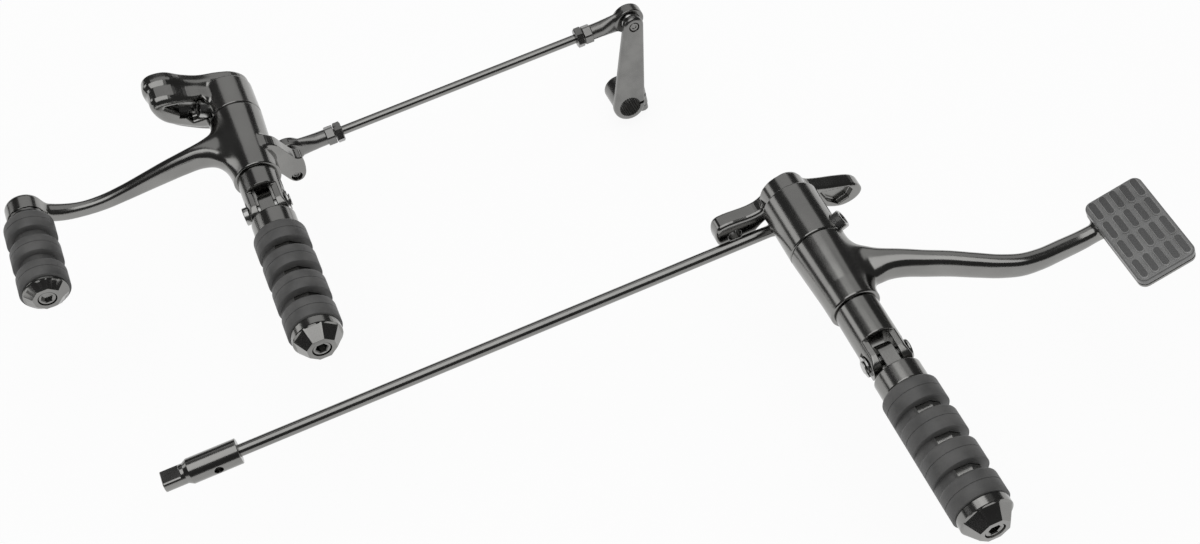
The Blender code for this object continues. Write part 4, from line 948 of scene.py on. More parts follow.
@dataclass
class PegSide:
    """One side's collar, spindle, fork and foot peg."""

    name: str
    seam: Point
    bore_depth: float
    hub_length: float
    support_reach: float
    screw_turn: float
    screw_back: float
    pin_turn: float
    pin_head_length: float
    support_radius: float = 0.0138
    collar_radius: float = 0.0182
    hub_rim: float = 0.0010
    hub_taper_end: float = 0.72
    hub_front_radius: float = 0.0159
    spindle_radius: float = 0.0100
    hub_bore_radius: float = 0.0127
    chamfer: float = 0.0009
    lock_seat: float = 0.0155
    lock_head_radius: float = 0.0060
    lock_head_length: float = 0.0076
    lock_screw_radius: float = 0.0030
    fork_width: float = 0.0252
    fork_rim: float = 0.0004
    slot_width: float = 0.0130
    slot_edge: float = 0.0006
    nose_radius: float = 0.0092
    pin_from_root: float = 0.0106
    pin_radius: float = 0.0040
    pin_head_radius: float = 0.0060
    pin_tail: float = 0.0028
    pin_groove_radius: float = 0.0031
    pin_groove_width: float = 0.0010
    pin_rim: float = 0.0005
    clip_radius: float = 0.0064
    tongue_width: float = 0.0096
    tongue_radius: float = 0.0088
    shoulder: float = 0.0124
    peg_collar_radius: float = 0.0148
    peg_collar_length: float = 0.0135
    peg_collar_rim: float = 0.0008
    core_across: float = 0.0222
    rubber_radius: float = 0.0175
    ring_count: int = 4
    ring_width: float = 0.0161
    groove_width: float = 0.0062
    ring_round: float = 0.0026
    spine_radius: float = 0.0140
    spine_offset: float = 0.0043
    spine_direction: float = math.radians(230.0)
    spine_half_turn: float = math.radians(118.0)
    spine_wall: float = 0.0002
    cap_radius: float = 0.0161
    cap_flange: float = 0.0058
    cap_length: float = 0.0145
    cap_shoulder: float = 0.0157
    cap_face: float = 0.0098
    screw_radius: float = 0.0040
    head_radius: float = 0.0060
    head_top: float = 0.0138
    screw_seat: float = 0.0050
    screw_length: float = 0.0300
    frame: Frame = field(init=False)
    fold: Frame = field(init=False)
    screw_frame: Frame = field(init=False)
    pin_z: float = field(init=False)
    rubber_start: float = field(init=False)
    rubber_end: float = field(init=False)

    def __post_init__(self) -> None:
        """Works out the places that follow from the sizes."""
        self.frame = Frame(self.seam, SIDE_TURN)
        self.pin_z = self.support_reach + self.pin_from_root
        self.fold = self.frame.child((0.0, 0.0, self.pin_z))
        self.rubber_start = self.shoulder + self.peg_collar_length + GAP
        self.rubber_end = (self.rubber_start + self.ring_count * (self.ring_width + self.groove_width)
                           - self.groove_width)
        self.screw_frame = self.frame.child((0.0, 0.0, -self.screw_back), turn_about("z", self.screw_turn))

    def lock_hole(self, x: Array, y: Array, z: Array) -> Array:
        """The field of the spot face and hole for the lock screw.

        Args:
            x, y, z: coordinates in this frame.

        Returns:
            The field: distances in metres, negative inside.
        """
        c, s = math.cos(self.screw_turn), math.sin(self.screw_turn)
        out = x * c + y * s
        across = np.hypot(y * c - x * s, z + self.screw_back)
        wide = solid_round(across, out, self.lock_head_radius + GAP, self.lock_seat - GAP,
                           OPEN + self.lock_seat)
        narrow = solid_round(across, out, self.lock_screw_radius + GAP, self.spindle_radius / 2.0, OPEN)
        return np.minimum(wide, narrow)

    def collar(self, x: Array, y: Array, z: Array, length: float) -> Array:
        """The field of the bracket's round collar."""
        return solid_round(np.hypot(x, y), z, self.collar_radius, -length - self.chamfer, 0.0, self.chamfer)

    def bored(self, shape: Array, x: Array, y: Array, z: Array) -> Array:
        """The bracket's field with the spindle's bore and the lock screw's hole taken out."""
        bore = solid_round(np.hypot(x, y), z, self.spindle_radius + GAP, -self.bore_depth, OPEN)
        return cut(cut(shape, bore), self.lock_hole(x, y, z))

    def hub(self, x: Array, y: Array, z: Array) -> Array:
        """The field of the lever's tapered hub.

        Args:
            x, y, z: coordinates in this frame.

        Returns:
            The field: distances in metres, negative inside.
        """
        length = self.hub_length
        radius = np.interp(z, (0.0, self.hub_taper_end * length, length),
                           (self.collar_radius, self.hub_front_radius + GAP, self.hub_front_radius))
        return solid_round(np.hypot(x, y) - radius, z, 0.0, GAP, length, self.hub_rim)

    def hub_bore(self, x: Array, y: Array, z: Array) -> Array:
        """The field of the hub's bore."""
        return solid_round(np.hypot(x, y), z, self.hub_bore_radius, -OPEN, self.hub_length + OPEN)

    def build(self, maker: Maker) -> None:
        """Builds the lock screw, the support, the pin and the foot peg.

        Args:
            maker: takes the finished pieces.
        """
        self.lock_screw(maker)
        self.support(maker)
        self.pin(maker)
        self.core(maker)
        self.rubber(maker)
        self.cap(maker)

    def lock_screw(self, maker: Maker) -> None:
        """The socket screw in the collar.

        Args:
            maker: takes the finished pieces.
        """
        head = socket_head(self.lock_head_radius, self.lock_head_length, self.lock_screw_radius,
                           self.lock_seat - self.spindle_radius - GAP)
        maker.piece(self.name + "_lock_screw",
                    head.placed(self.screw_frame.child((self.lock_seat, 0.0, 0.0), ALONG_X)), DARK_STEEL)

    def support(self, maker: Maker) -> None:
        """The spindle with its fork, cast and milled.

        Args:
            maker: takes the finished pieces.
        """
        shoulder = self.hub_length + GAP
        tip = self.pin_z + self.nose_radius

        def shape(x: Array, y: Array, z: Array) -> Array:
            """The fork, with the slot, flats and pin hole milled out.

            Args:
                x, y, z: coordinates in this frame.

            Returns:
                The field: distances in metres, negative inside.
            """
            fork = solid_round(np.hypot(x, y), z, self.support_radius, shoulder, tip + GAP, self.fork_rim)
            ear = np.hypot(np.maximum(z - self.pin_z, 0.0), y) - self.nose_radius
            fork = -blend(-fork, -np.minimum(ear, z - self.support_reach), self.slot_edge)
            slot = slab(np.abs(x) - self.slot_width / 2.0, z, self.support_reach - GAP, tip + OPEN)
            flats_start = self.pin_z - self.clip_radius - GAP
            flats = slab(self.fork_width / 2.0 - np.abs(x), z, flats_start, tip + OPEN)
            hole = np.hypot(y, z - self.pin_z) - self.pin_radius - GAP
            return cut(cut(cut(fork, slot, self.slot_edge), flats), hole)

        reach = self.support_radius
        fork = cast(shape, (-reach, -reach, shoulder), (reach, reach, tip), FINE_PITCH)
        radius = self.spindle_radius
        top, bottom = shoulder + self.chamfer, GAP - self.bore_depth
        spindle = turned([(0.0, top), (radius, top), (radius, bottom), (0.0, bottom)], ROUND, self.fork_rim)
        maker.piece(self.name + "_peg_support", joined([fork, spindle]).placed(self.frame), GLOSS_METAL)

    def pin(self, maker: Maker) -> None:
        """The headed pivot pin.

        Args:
            maker: takes the finished pieces.
        """
        ear = self.fork_width / 2.0
        head = -ear - GAP
        groove = ear + GAP
        groove_end = groove + self.pin_groove_width + 2.0 * GAP
        tail = ear + self.pin_tail
        end = head - self.pin_head_length
        r, big, small = self.pin_radius, self.pin_head_radius, self.pin_groove_radius
        profile = [(0.0, tail), (r, tail), (r, groove_end), (small, groove_end), (small, groove), (r, groove),
                   (r, head), (big, head), (big, end), (0.0, end)]
        made = turned(profile, SMALL_ROUND, self.pin_rim)
        maker.piece(self.name + "_pivot_pin",
                    made.placed(self.fold.child(turn=turn_about("y", self.pin_turn))), DARK_STEEL)
        maker.keep(self.name + "_pin_clip", DARK_STEEL)
        maker.keep(self.name + "_hub_bush", DARK_STEEL)

    def core(self, maker: Maker) -> None:
        """The peg's metal core: tongue, round collar, and eight-sided bar.

        Args:
            maker: takes the finished pieces.
        """
        collar_end = self.shoulder + self.peg_collar_length
        bar = self.core_across / 2.0

        def shape(x: Array, y: Array, z: Array) -> Array:
            """Tongue and collar, drilled for the pin.

            Args:
                x, y, z: coordinates in this frame.

            Returns:
                The field: distances in metres, negative inside.
            """
            half = self.tongue_width / 2.0
            flat = capsule(z, y, (0.0, 0.0), self.tongue_radius, (self.shoulder, 0.0), self.tongue_radius)
            tongue = slab(flat, x, -half, half, self.pin_rim)
            collar = solid_round(np.hypot(x, y), z, self.peg_collar_radius, self.shoulder, collar_end,
                                 self.peg_collar_rim)
            return cut(blend(tongue, collar, self.peg_collar_rim), np.hypot(y, z) - self.pin_radius - GAP)

        reach = self.peg_collar_radius
        head = cast(shape, (-reach, -reach, -self.tongue_radius), (reach, reach, collar_end), FINE_PITCH)
        bore, start = self.screw_radius + GAP, collar_end - self.chamfer
        rod = turned([(bore, self.rubber_end), (reach, self.rubber_end, bar, 8.0), (reach, start, bar, 8.0),
                      (bore, start)], ROUND)
        maker.piece(self.name + "_peg_core", joined([head, rod]).placed(self.fold), GLOSS_METAL)

    def rubber(self, maker: Maker) -> None:
        """The ribbed rubber: four rings with a fine line round each, and the spine that joins them.

        Args:
            maker: takes the finished pieces.
        """
        inner = self.core_across / 2.0 + GAP
        shells = []
        for i in range(self.ring_count):
            low = self.rubber_start + i * (self.ring_width + self.groove_width)
            shells.append(self.ring(low, low + self.ring_width, inner))
        shells.append(self.spine(inner))
        maker.piece(self.name + "_peg_rubber", joined(shells).placed(self.fold), RUBBER, RUBBER_SHARP)

    def ring(self, low: float, high: float, inner: float) -> Surface:
        """One ring: crisp outer edge, moulding line round its middle and rounded inner shoulder.

        Args:
            low: its lower end.
            high: its upper end.
            inner: distance of the flats that the rubber sits on.

        Returns:
            The ring.
        """
        radius, rho = self.rubber_radius, self.ring_round
        shoulder = [(radius - rho + rho * math.cos(a), low + rho - rho * math.sin(a))
                    for a in np.linspace(0.0, math.pi / 2.0, 9)]
        profile = lined_band(radius, low, high) + shoulder
        profile += [(OPEN, low, inner, 8.0), (OPEN, high, inner, 8.0)]
        return turned(profile, FINE_ROUND)

    def spine(self, inner: float) -> Surface:
        """The strip of rubber along one side that joins the rings: part of an offset cylinder's wall.

        Args:
            inner: distance of the flats that the rubber sits on.

        Returns:
            The strip.
        """
        low = self.rubber_start + self.ring_width / 2.0
        high = self.rubber_end - self.ring_width / 2.0
        turn = self.spine_direction
        u = np.linspace(-self.spine_half_turn, self.spine_half_turn, ROUND + 1) + turn
        folded = np.mod(u - math.pi / 2.0 + math.pi / 8.0, math.pi / 4.0) - math.pi / 8.0
        inside = inner / np.cos(folded)
        towards = self.spine_offset * np.cos(u - turn)
        outside = towards + np.sqrt(self.spine_radius ** 2 - self.spine_offset ** 2 + towards ** 2)
        outside = np.maximum(outside, inside + self.spine_wall)
        loop_r = np.concatenate([outside, inside[::-1]])
        loop_u = np.concatenate([u, u[::-1]])
        section = np.stack([loop_r * np.cos(loop_u), loop_r * np.sin(loop_u)], axis=1)
        return prism(section, low, high)

    def cap(self, maker: Maker) -> None:
        """The end cap and its screw.

        Args:
            maker: takes the finished pieces.
        """
        base = self.rubber_end + GAP
        made = end_cap(base, self.cap_radius, self.cap_flange, self.cap_length, self.cap_shoulder,
                       self.cap_face, self.screw_radius, self.head_radius, self.screw_seat)
        maker.piece(self.name + "_peg_cap", made.placed(self.fold), GLOSS_METAL, CAP_SHARP)
        head = socket_head(self.head_radius, self.head_top - self.screw_seat, self.screw_radius,
                           self.screw_length)
        maker.piece(self.name + "_peg_screw",
                    head.placed(self.fold.child((0.0, 0.0, base + self.screw_seat))), GLOSS_METAL)


def lined_band(radius: float, low: float, high: float) -> List[Tuple[float, float]]:
    """A rubber ring's outer profile from its crisp edge at high to its moulding line halfway to low.

    Args:
        radius: its radius.
        low: the ring's lower end.
        high: the ring's upper end.

    Returns:
        The profile's points.
    """
    middle, line, sunk = (low + high) / 2.0, LINE_WIDTH, radius - LINE_DEPTH
    return [(sunk, high), (radius, high - LINE_DEPTH), (radius, middle + line), (sunk, middle + line * 0.4),
            (sunk, middle - line * 0.4), (radius, middle - line)]


def prism(section: Array, low: float, high: float) -> Surface:
    """A closed outline carried from low to high along z; its ends are closed strip by strip.

    The outline runs out along one side and back along the other, with as many points on each, so
    the ends are strips between point k and point n - 1 - k.

    Args:
        section: the outline.
        low: its lower end.
        high: its upper end.

    Returns:
        The surface.
    """
    n = len(section)
    points = np.vstack([np.column_stack([section, np.full(n, height)]) for height in (low, high)])
    k = np.arange(n)
    side = np.stack([k, (k + 1) % n, (k + 1) % n + n, k + n], axis=1)
    h = np.arange(n // 2 - 1)
    end = np.stack([h, n - 1 - h, n - 2 - h, h + 1], axis=1)
    return Surface(points, [side, end, end[:, ::-1] + n])


def end_cap(base: float, radius: float, flange: float, length: float, shoulder: float, face: float,
            screw: float, head: float, seat: float) -> Surface:
    """A round flange with an eight-sided cone on it, bored and counterbored for its screw.

    Args:
        base: height of its underside.
        radius: the flange's radius.
        flange: the flange's height.
        length: height of the whole cap.
        shoulder: radius at the cone's foot.
        face: radius of the cone's flat end.
        screw: the screw's radius.
        head: the radius of the screw's head.
        seat: height of the head's seat.

    Returns:
        The cap.
    """
    bore, wide = screw + GAP, head + GAP
    edge = CAP_EDGE
    apothem = math.cos(math.pi / 8.0)
    profile = [(wide, base + length), (face + edge, base + length, face * apothem, 8.0),
               (shoulder, base + flange + edge, shoulder * apothem, 8.0), (radius - edge, base + flange),
               (radius, base + flange - edge), (radius, base + edge), (radius - edge, base), (bore, base),
               (bore, base + seat - GAP), (wide, base + seat - GAP)]
    return turned(profile)


def socket_head(radius: float, head: float, shank: float, length: float) -> Surface:
    """A socket head screw: the head stands up z from its seat, with a six-sided socket.

    Args:
        radius: the head's radius.
        head: the head's height.
        shank: the shank's radius.
        length: the shank's length.

    Returns:
        The screw.
    """
    flat, edge, depth = radius * SOCKET_SHARE, radius * EDGE_SHARE, head * SOCKET_SHARE
    profile = [(0.0, head - depth), (radius, head - depth, flat, 6.0), (radius, head - edge, flat, 6.0),
               (radius, head, flat + edge, 6.0), (radius - edge, head), (radius, head - edge), (radius, 0.0),
               (shank, 0.0), (shank, -length), (0.0, -length)]
    return turned(profile)


def domed_bolt(shank: float, length: float, radius: float, head: float) -> Surface:
    """A bolt with a low domed head, which stands up z from its seat; its shank has a chamfered end.

    Args:
        shank: the shank's radius.
        length: the shank's length.
        radius: the head's radius.
        head: the head's height.

    Returns:
        The bolt.
    """
    edge = 2.0 * GAP
    dome = [(radius * math.cos(a), head * (1.0 - DOME_SHARE * (1.0 - math.sin(a))))
            for a in np.linspace(0.0, math.pi / 2.0, 9)]
    dome[-1] = (0.0, head)
    profile = dome[::-1] + [(radius, 0.0), (shank, 0.0), (shank, edge - length), (shank - edge, -length),
                            (shank * 0.5, -length), (shank * 0.4, edge - length), (0.0, edge - length)]
    return turned(profile, 64)


def hex_nut(across: float, low: float, high: float, bore: float) -> Surface:
    """A nut with both ends chamfered.

    Args:
        across: distance across its flats.
        low: its lower end.
        high: its upper end.
        bore: its bore's radius.

    Returns:
        The nut.
    """
    flat = across / 2.0
    corner = flat / math.cos(math.pi / 6.0)
    face = flat * NUT_FACE_SHARE
    lean = (corner - face) * 0.5
    profile = [(bore, high), (face, high), (corner, high - lean, flat, 6.0), (corner, low + lean, flat, 6.0),
               (face, low), (bore, low)]
    return turned(profile)


@dataclass
class LeftBracket:
    """The left bracket: collar and forward lobe, with a pocket and two threaded holes."""

    side: PegSide
    collar_length: float = 0.0265
    plate_thickness: float = 0.0105
    plate_round: float = 0.0026
    lobe_front: float = -0.0100
    lobe_round: float = 0.0060
    lobe_inset: float = 0.0008
    lobe_fillet: float = 0.0050
    collar_fillet: float = 0.0020
    pocket_depth: float = 0.0065
    pocket_fillet: float = 0.0030
    bolts: Tuple[Tuple[float, float], ...] = ((-0.0385, 0.0235), (-0.0150, -0.0180))
    thread_radius: float = 0.0040
    thread_depth: float = 0.0075
    box_low: Tuple[float, float] = (-0.0520, -0.0310)
    box_high: Tuple[float, float] = (0.0185, 0.0370)
    plate: Outline = ((-0.0440, 0.0345), (-0.0500, 0.0280), (-0.0490, 0.0135), (-0.0472, 0.0025),
                      (-0.0415, -0.0080), (-0.0320, -0.0168), (-0.0200, -0.0252), (-0.0070, -0.0290),
                      (0.0060, -0.0250), (0.0150, -0.0130), (0.0170, 0.0010), (0.0105, 0.0105),
                      (0.0000, 0.0155), (-0.0125, 0.0192), (-0.0225, 0.0252), (-0.0325, 0.0330))
    lobe: Outline = ((-0.0440, 0.0340), (-0.0495, 0.0280), (-0.0490, 0.0185), (-0.0448, 0.0095),
                     (-0.0356, 0.0012), (-0.0236, -0.0072), (-0.0106, -0.0110), (0.0040, -0.0060),
                     (0.0040, 0.0080), (-0.0125, 0.0192), (-0.0225, 0.0248), (-0.0325, 0.0322))
    pocket: Outline = ((-0.0390, 0.0250), (-0.0270, 0.0225), (-0.0150, 0.0185), (-0.0120, 0.0060),
                       (-0.0200, 0.0035), (-0.0265, 0.0040), (-0.0290, 0.0110))

    def shape(self, x: Array, y: Array, z: Array) -> Array:
        """The bracket's field.

        Args:
            x, y, z: coordinates in this frame.

        Returns:
            The field: distances in metres, negative inside.
        """
        front = -self.collar_length
        back = front - self.plate_thickness
        plate = slab(outline_distance(x, y, smooth_curve(self.plate)), z, back, front, self.plate_round)
        flat = outline_distance(x, y, smooth_curve(self.lobe)) + self.lobe_inset
        lobe = slab(flat, z, back + self.plate_round, self.lobe_front, self.lobe_round)
        body = np.maximum(blend(plate, lobe, self.lobe_fillet), back - z)
        body = blend(body, self.side.collar(x, y, z, self.collar_length), self.collar_fillet)
        floor = self.lobe_front - self.pocket_depth
        hollow = slab(outline_distance(x, y, np.array(self.pocket)), z, floor, OPEN, self.pocket_fillet)
        body = cut(body, hollow, self.pocket_fillet)
        for bx, by in self.bolts:
            thread = solid_round(np.hypot(x - bx, y - by), z, self.thread_radius, back - OPEN,
                                 back + self.thread_depth)
            body = cut(body, thread)
        return self.side.bored(body, x, y, z)

    def build(self, maker: Maker) -> None:
        """Casts the bracket.

        Args:
            maker: takes the finished pieces.
        """
        low = (*self.box_low, -self.collar_length - self.plate_thickness)
        made = cast(self.shape, low, (*self.box_high, 0.0))
        maker.piece("left_bracket", made.placed(self.side.frame), GLOSS_METAL)


@dataclass
class RightBracket:
    """The right bracket: collar, neck and two spread legs."""

    side: PegSide
    collar_length: float = 0.0386
    neck_length: float = 0.0106
    neck_radius: float = 0.0146
    plate_thickness: float = 0.0112
    plate_round: float = 0.0024
    neck_fillet: float = 0.0015
    leg_fillet: float = 0.0040
    pocket_depth: float = 0.0040
    pocket_round: float = 0.0006
    pocket_fillet: float = 0.0010
    hole: Tuple[float, float] = (-0.0345, -0.0232)
    hole_radius: float = 0.0043
    hole_edge: float = 0.0008
    box_low: Tuple[float, float] = (-0.0490, -0.0410)
    box_high: Tuple[float, float] = (0.0570, 0.0185)
    legs: Outline = ((-0.0470, -0.0200), (-0.0450, -0.0125), (-0.0380, -0.0105), (-0.0215, -0.0115),
                     (-0.0125, -0.0085), (-0.0045, 0.0010), (0.0050, 0.0050), (0.0130, 0.0015),
                     (0.0185, -0.0075), (0.0275, -0.0125), (0.0390, -0.0170), (0.0500, -0.0225),
                     (0.0545, -0.0300), (0.0500, -0.0365), (0.0400, -0.0385), (0.0290, -0.0335),
                     (0.0190, -0.0240), (0.0080, -0.0180), (-0.0060, -0.0180), (-0.0160, -0.0240),
                     (-0.0260, -0.0330), (-0.0370, -0.0350), (-0.0450, -0.0290))
    pocket: Outline = ((0.0250, -0.0160), (0.0450, -0.0215), (0.0475, -0.0262), (0.0445, -0.0318),
                       (0.0370, -0.0345), (0.0300, -0.0275))

    def shape(self, x: Array, y: Array, z: Array) -> Array:
        """The bracket's field.

        Args:
            x, y, z: coordinates in this frame.

        Returns:
            The field: distances in metres, negative inside.
        """
        front = -self.collar_length - self.neck_length
        back = front - self.plate_thickness
        legs = slab(outline_distance(x, y, smooth_curve(self.legs, 4)), z, back, front, self.plate_round)
        neck = solid_round(np.hypot(x, y), z, self.neck_radius, front - self.plate_round,
                           self.side.chamfer - self.collar_length)
        body = blend(self.side.collar(x, y, z, self.collar_length), neck, self.neck_fillet)
        body = blend(body, legs, self.leg_fillet)
        floor = front - self.pocket_depth
        hollow = slab(outline_distance(x, y, np.array(self.pocket)), z, floor, OPEN, self.pocket_round)
        body = cut(body, hollow, self.pocket_fillet)
        through = np.hypot(x - self.hole[0], y - self.hole[1]) - self.hole_radius
        return self.side.bored(cut(body, through, self.hole_edge), x, y, z)

    def build(self, maker: Maker) -> None:
        """Casts the bracket.

        Args:
            maker: takes the finished pieces.
        """
        low = (*self.box_low, -self.collar_length - self.neck_length - self.plate_thickness)
        made = cast(self.shape, low, (*self.box_high, 0.0))
        maker.piece("right_bracket", made.placed(self.side.frame), GLOSS_METAL)


@dataclass
class ShiftLever:
    """The shift lever, in one casting: hub, swept arm, toe boss and the ear for the shift rod."""

    side: PegSide
    toe: Tuple[float, float] = (-0.1481, 0.0150)
    boss_radius: float = 0.0125
    boss_back: float = 0.0160
    boss_front: float = 0.0295
    boss_round: float = 0.0040
    ear_hole: Tuple[float, float] = (0.0240, -0.0285)
    ear_front: float = 0.0415
    tab_thickness: float = 0.0100
    bolt_recess: float = 0.0020
    bolt_radius: float = 0.0034
    toe_screw_radius: float = 0.0040
    toe_screw_depth: float = 0.0123
    arm_fillet: float = 0.0060
    boss_fillet: float = 0.0040
    ear_fillet: float = 0.0030
    ear_edge: float = 0.0010
    box_low: Tuple[float, float] = (-0.1600, -0.0370)
    box_high: Tuple[float, float] = (0.0330, 0.0270)
    ear: Outline = ((0.0100, 0.0105), (0.0186, 0.0076), (0.0236, -0.0026), (0.0277, -0.0109),
                    (0.0318, -0.0136), (0.0323, -0.0205), (0.0303, -0.0296), (0.0258, -0.0335),
                    (0.0200, -0.0312), (0.0130, -0.0178), (0.0040, -0.0120))
    arm: Arm = Arm((
        (-0.0040, 0.0020, 0.0270, 0.0088, 0.0225, 2.3), (-0.0120, 0.0035, 0.0262, 0.0092, 0.0205, 2.3),
        (-0.0180, 0.0046, 0.0250, 0.0092, 0.0150, 2.3), (-0.0240, 0.0053, 0.0240, 0.0091, 0.0103, 2.3),
        (-0.0310, 0.0054, 0.0235, 0.0089, 0.0072, 2.4), (-0.0430, 0.0045, 0.0232, 0.0084, 0.0057, 2.5),
        (-0.0560, 0.0030, 0.0231, 0.0077, 0.0051, 2.6), (-0.0700, 0.0011, 0.0231, 0.0068, 0.0046, 2.6),
        (-0.0860, -0.0010, 0.0231, 0.0058, 0.0043, 2.6), (-0.1010, -0.0020, 0.0231, 0.0052, 0.0043, 2.6),
        (-0.1150, -0.0006, 0.0231, 0.0050, 0.0043, 2.6), (-0.1270, 0.0035, 0.0232, 0.0051, 0.0053, 2.6),
        (-0.1375, 0.0092, 0.0230, 0.0054, 0.0059, 2.6), (-0.1460, 0.0142, 0.0226, 0.0056, 0.0063, 2.6)))

    def shape(self, x: Array, y: Array, z: Array) -> Array:
        """The lever's field.

        Args:
            x, y, z: coordinates in this frame.

        Returns:
            The field: distances in metres, negative inside.
        """
        from_toe = np.hypot(x - self.toe[0], y - self.toe[1])
        domed = solid_round(from_toe, z, self.boss_radius, self.boss_back,
                            self.boss_front + self.boss_round, self.boss_round)
        boss = np.maximum(domed, z - self.boss_front)
        flat = outline_distance(x, y, smooth_curve(self.ear))
        ear = slab(flat, z, self.ear_front - self.tab_thickness, self.ear_front, self.ear_edge)
        body = blend(self.side.hub(x, y, z), self.arm.distance(x, y, z), self.arm_fillet)
        body = blend(blend(body, boss, self.boss_fillet), ear, self.ear_fillet)
        hole = np.hypot(x - self.ear_hole[0], y - self.ear_hole[1]) - self.bolt_radius - GAP
        body = cut(body, hole, 2.0 * GAP)
        toe_hole = solid_round(from_toe, z, self.toe_screw_radius + GAP,
                               self.boss_front - self.toe_screw_depth, self.boss_front + OPEN)
        return cut(cut(body, toe_hole), self.side.hub_bore(x, y, z))

    def build(self, maker: Maker) -> None:
        """Casts the lever."""
        made = cast(self.shape, (*self.box_low, 0.0), (*self.box_high, self.side.hub_length))
        maker.piece("shift_lever", made.placed(self.side.frame), GLOSS_METAL)


@dataclass
class ToePeg:
    """The toe peg: core, ribbed rubber, end cap and screw."""

    lever: ShiftLever
    core_radius: float = 0.0080
    base_radius: float = 0.0122
    base_length: float = 0.0016
    neck_radius: float = 0.0130
    neck_length: float = 0.0033
    rubber_radius: float = 0.0162
    groove_radius: float = 0.0116
    ring_count: int = 3
    ring_width: float = 0.0152
    groove_width: float = 0.0065
    ring_taper: float = 0.0032
    ring_shoulder: float = 0.7
    base_edge: float = 0.0006
    neck_step: float = 0.0020
    neck_draft: float = 0.0001
    cap_radius: float = 0.0145
    cap_flange: float = 0.0020
    cap_length: float = 0.0066
    cap_shoulder: float = 0.0141
    cap_face: float = 0.0094
    screw_radius: float = 0.0040
    head_radius: float = 0.0058
    head_length: float = 0.0040
    screw_seat: float = 0.0020
    engagement: float = 0.0120

    def build(self, maker: Maker) -> None:
        """Turns the rubber, the cap and the screw.

        Args:
            maker: takes the finished pieces.
        """
        frame = self.lever.side.frame.child((*self.lever.toe, self.lever.boss_front + GAP))
        start = self.base_length + GAP
        rings_start = start + self.neck_length
        end = rings_start + self.ring_count * (self.ring_width + self.groove_width) - self.groove_width
        inner = self.core_radius + GAP
        profile: List[Tuple[float, ...]] = [(inner, end)]
        for i in range(self.ring_count):
            high = end - i * (self.ring_width + self.groove_width)
            low = high - self.ring_width
            profile += self.ring(low, high)
            if i < self.ring_count - 1:
                profile += [(self.groove_radius, low), (self.groove_radius, low - self.groove_width)]
        edge = self.base_edge
        profile += [(self.neck_radius, rings_start),
                    (self.neck_radius - self.neck_draft, rings_start - self.neck_step),
                    (self.base_radius, start + edge), (self.base_radius - edge, start), (inner, start)]
        maker.piece("toe_peg_rubber", turned(profile, FINE_ROUND).placed(frame), RUBBER, RUBBER_SHARP)
        maker.keep("toe_peg_core", SATIN_METAL)
        base = end + GAP
        cap = end_cap(base, self.cap_radius, self.cap_flange, self.cap_length, self.cap_shoulder,
                      self.cap_face, self.screw_radius, self.head_radius, self.screw_seat)
        maker.piece("toe_peg_cap", cap.placed(frame), GLOSS_METAL, CAP_SHARP)
        seat = base + self.screw_seat
        head = socket_head(self.head_radius, self.head_length, self.screw_radius,
                           seat + GAP + self.engagement)
        maker.piece("toe_peg_screw", head.placed(frame.child((0.0, 0.0, seat))), GLOSS_METAL)

    def ring(self, low: float, high: float) -> List[Tuple[float, float]]:
        """One ring's profile: crisp outer edge, fine line round its middle and tapered shoulder.

        Args:
            low: its lower end.
            high: its upper end.

        Returns:
            The profile's points, from high to low.
        """
        radius, taper = self.rubber_radius, self.ring_taper
        points = lined_band(radius, low, high)
        for t in np.linspace(0.0, 1.0, 7):
            points.append((radius - self.ring_shoulder * taper * t * t, low + taper * (1.0 - t) ** 1.5))
        return points


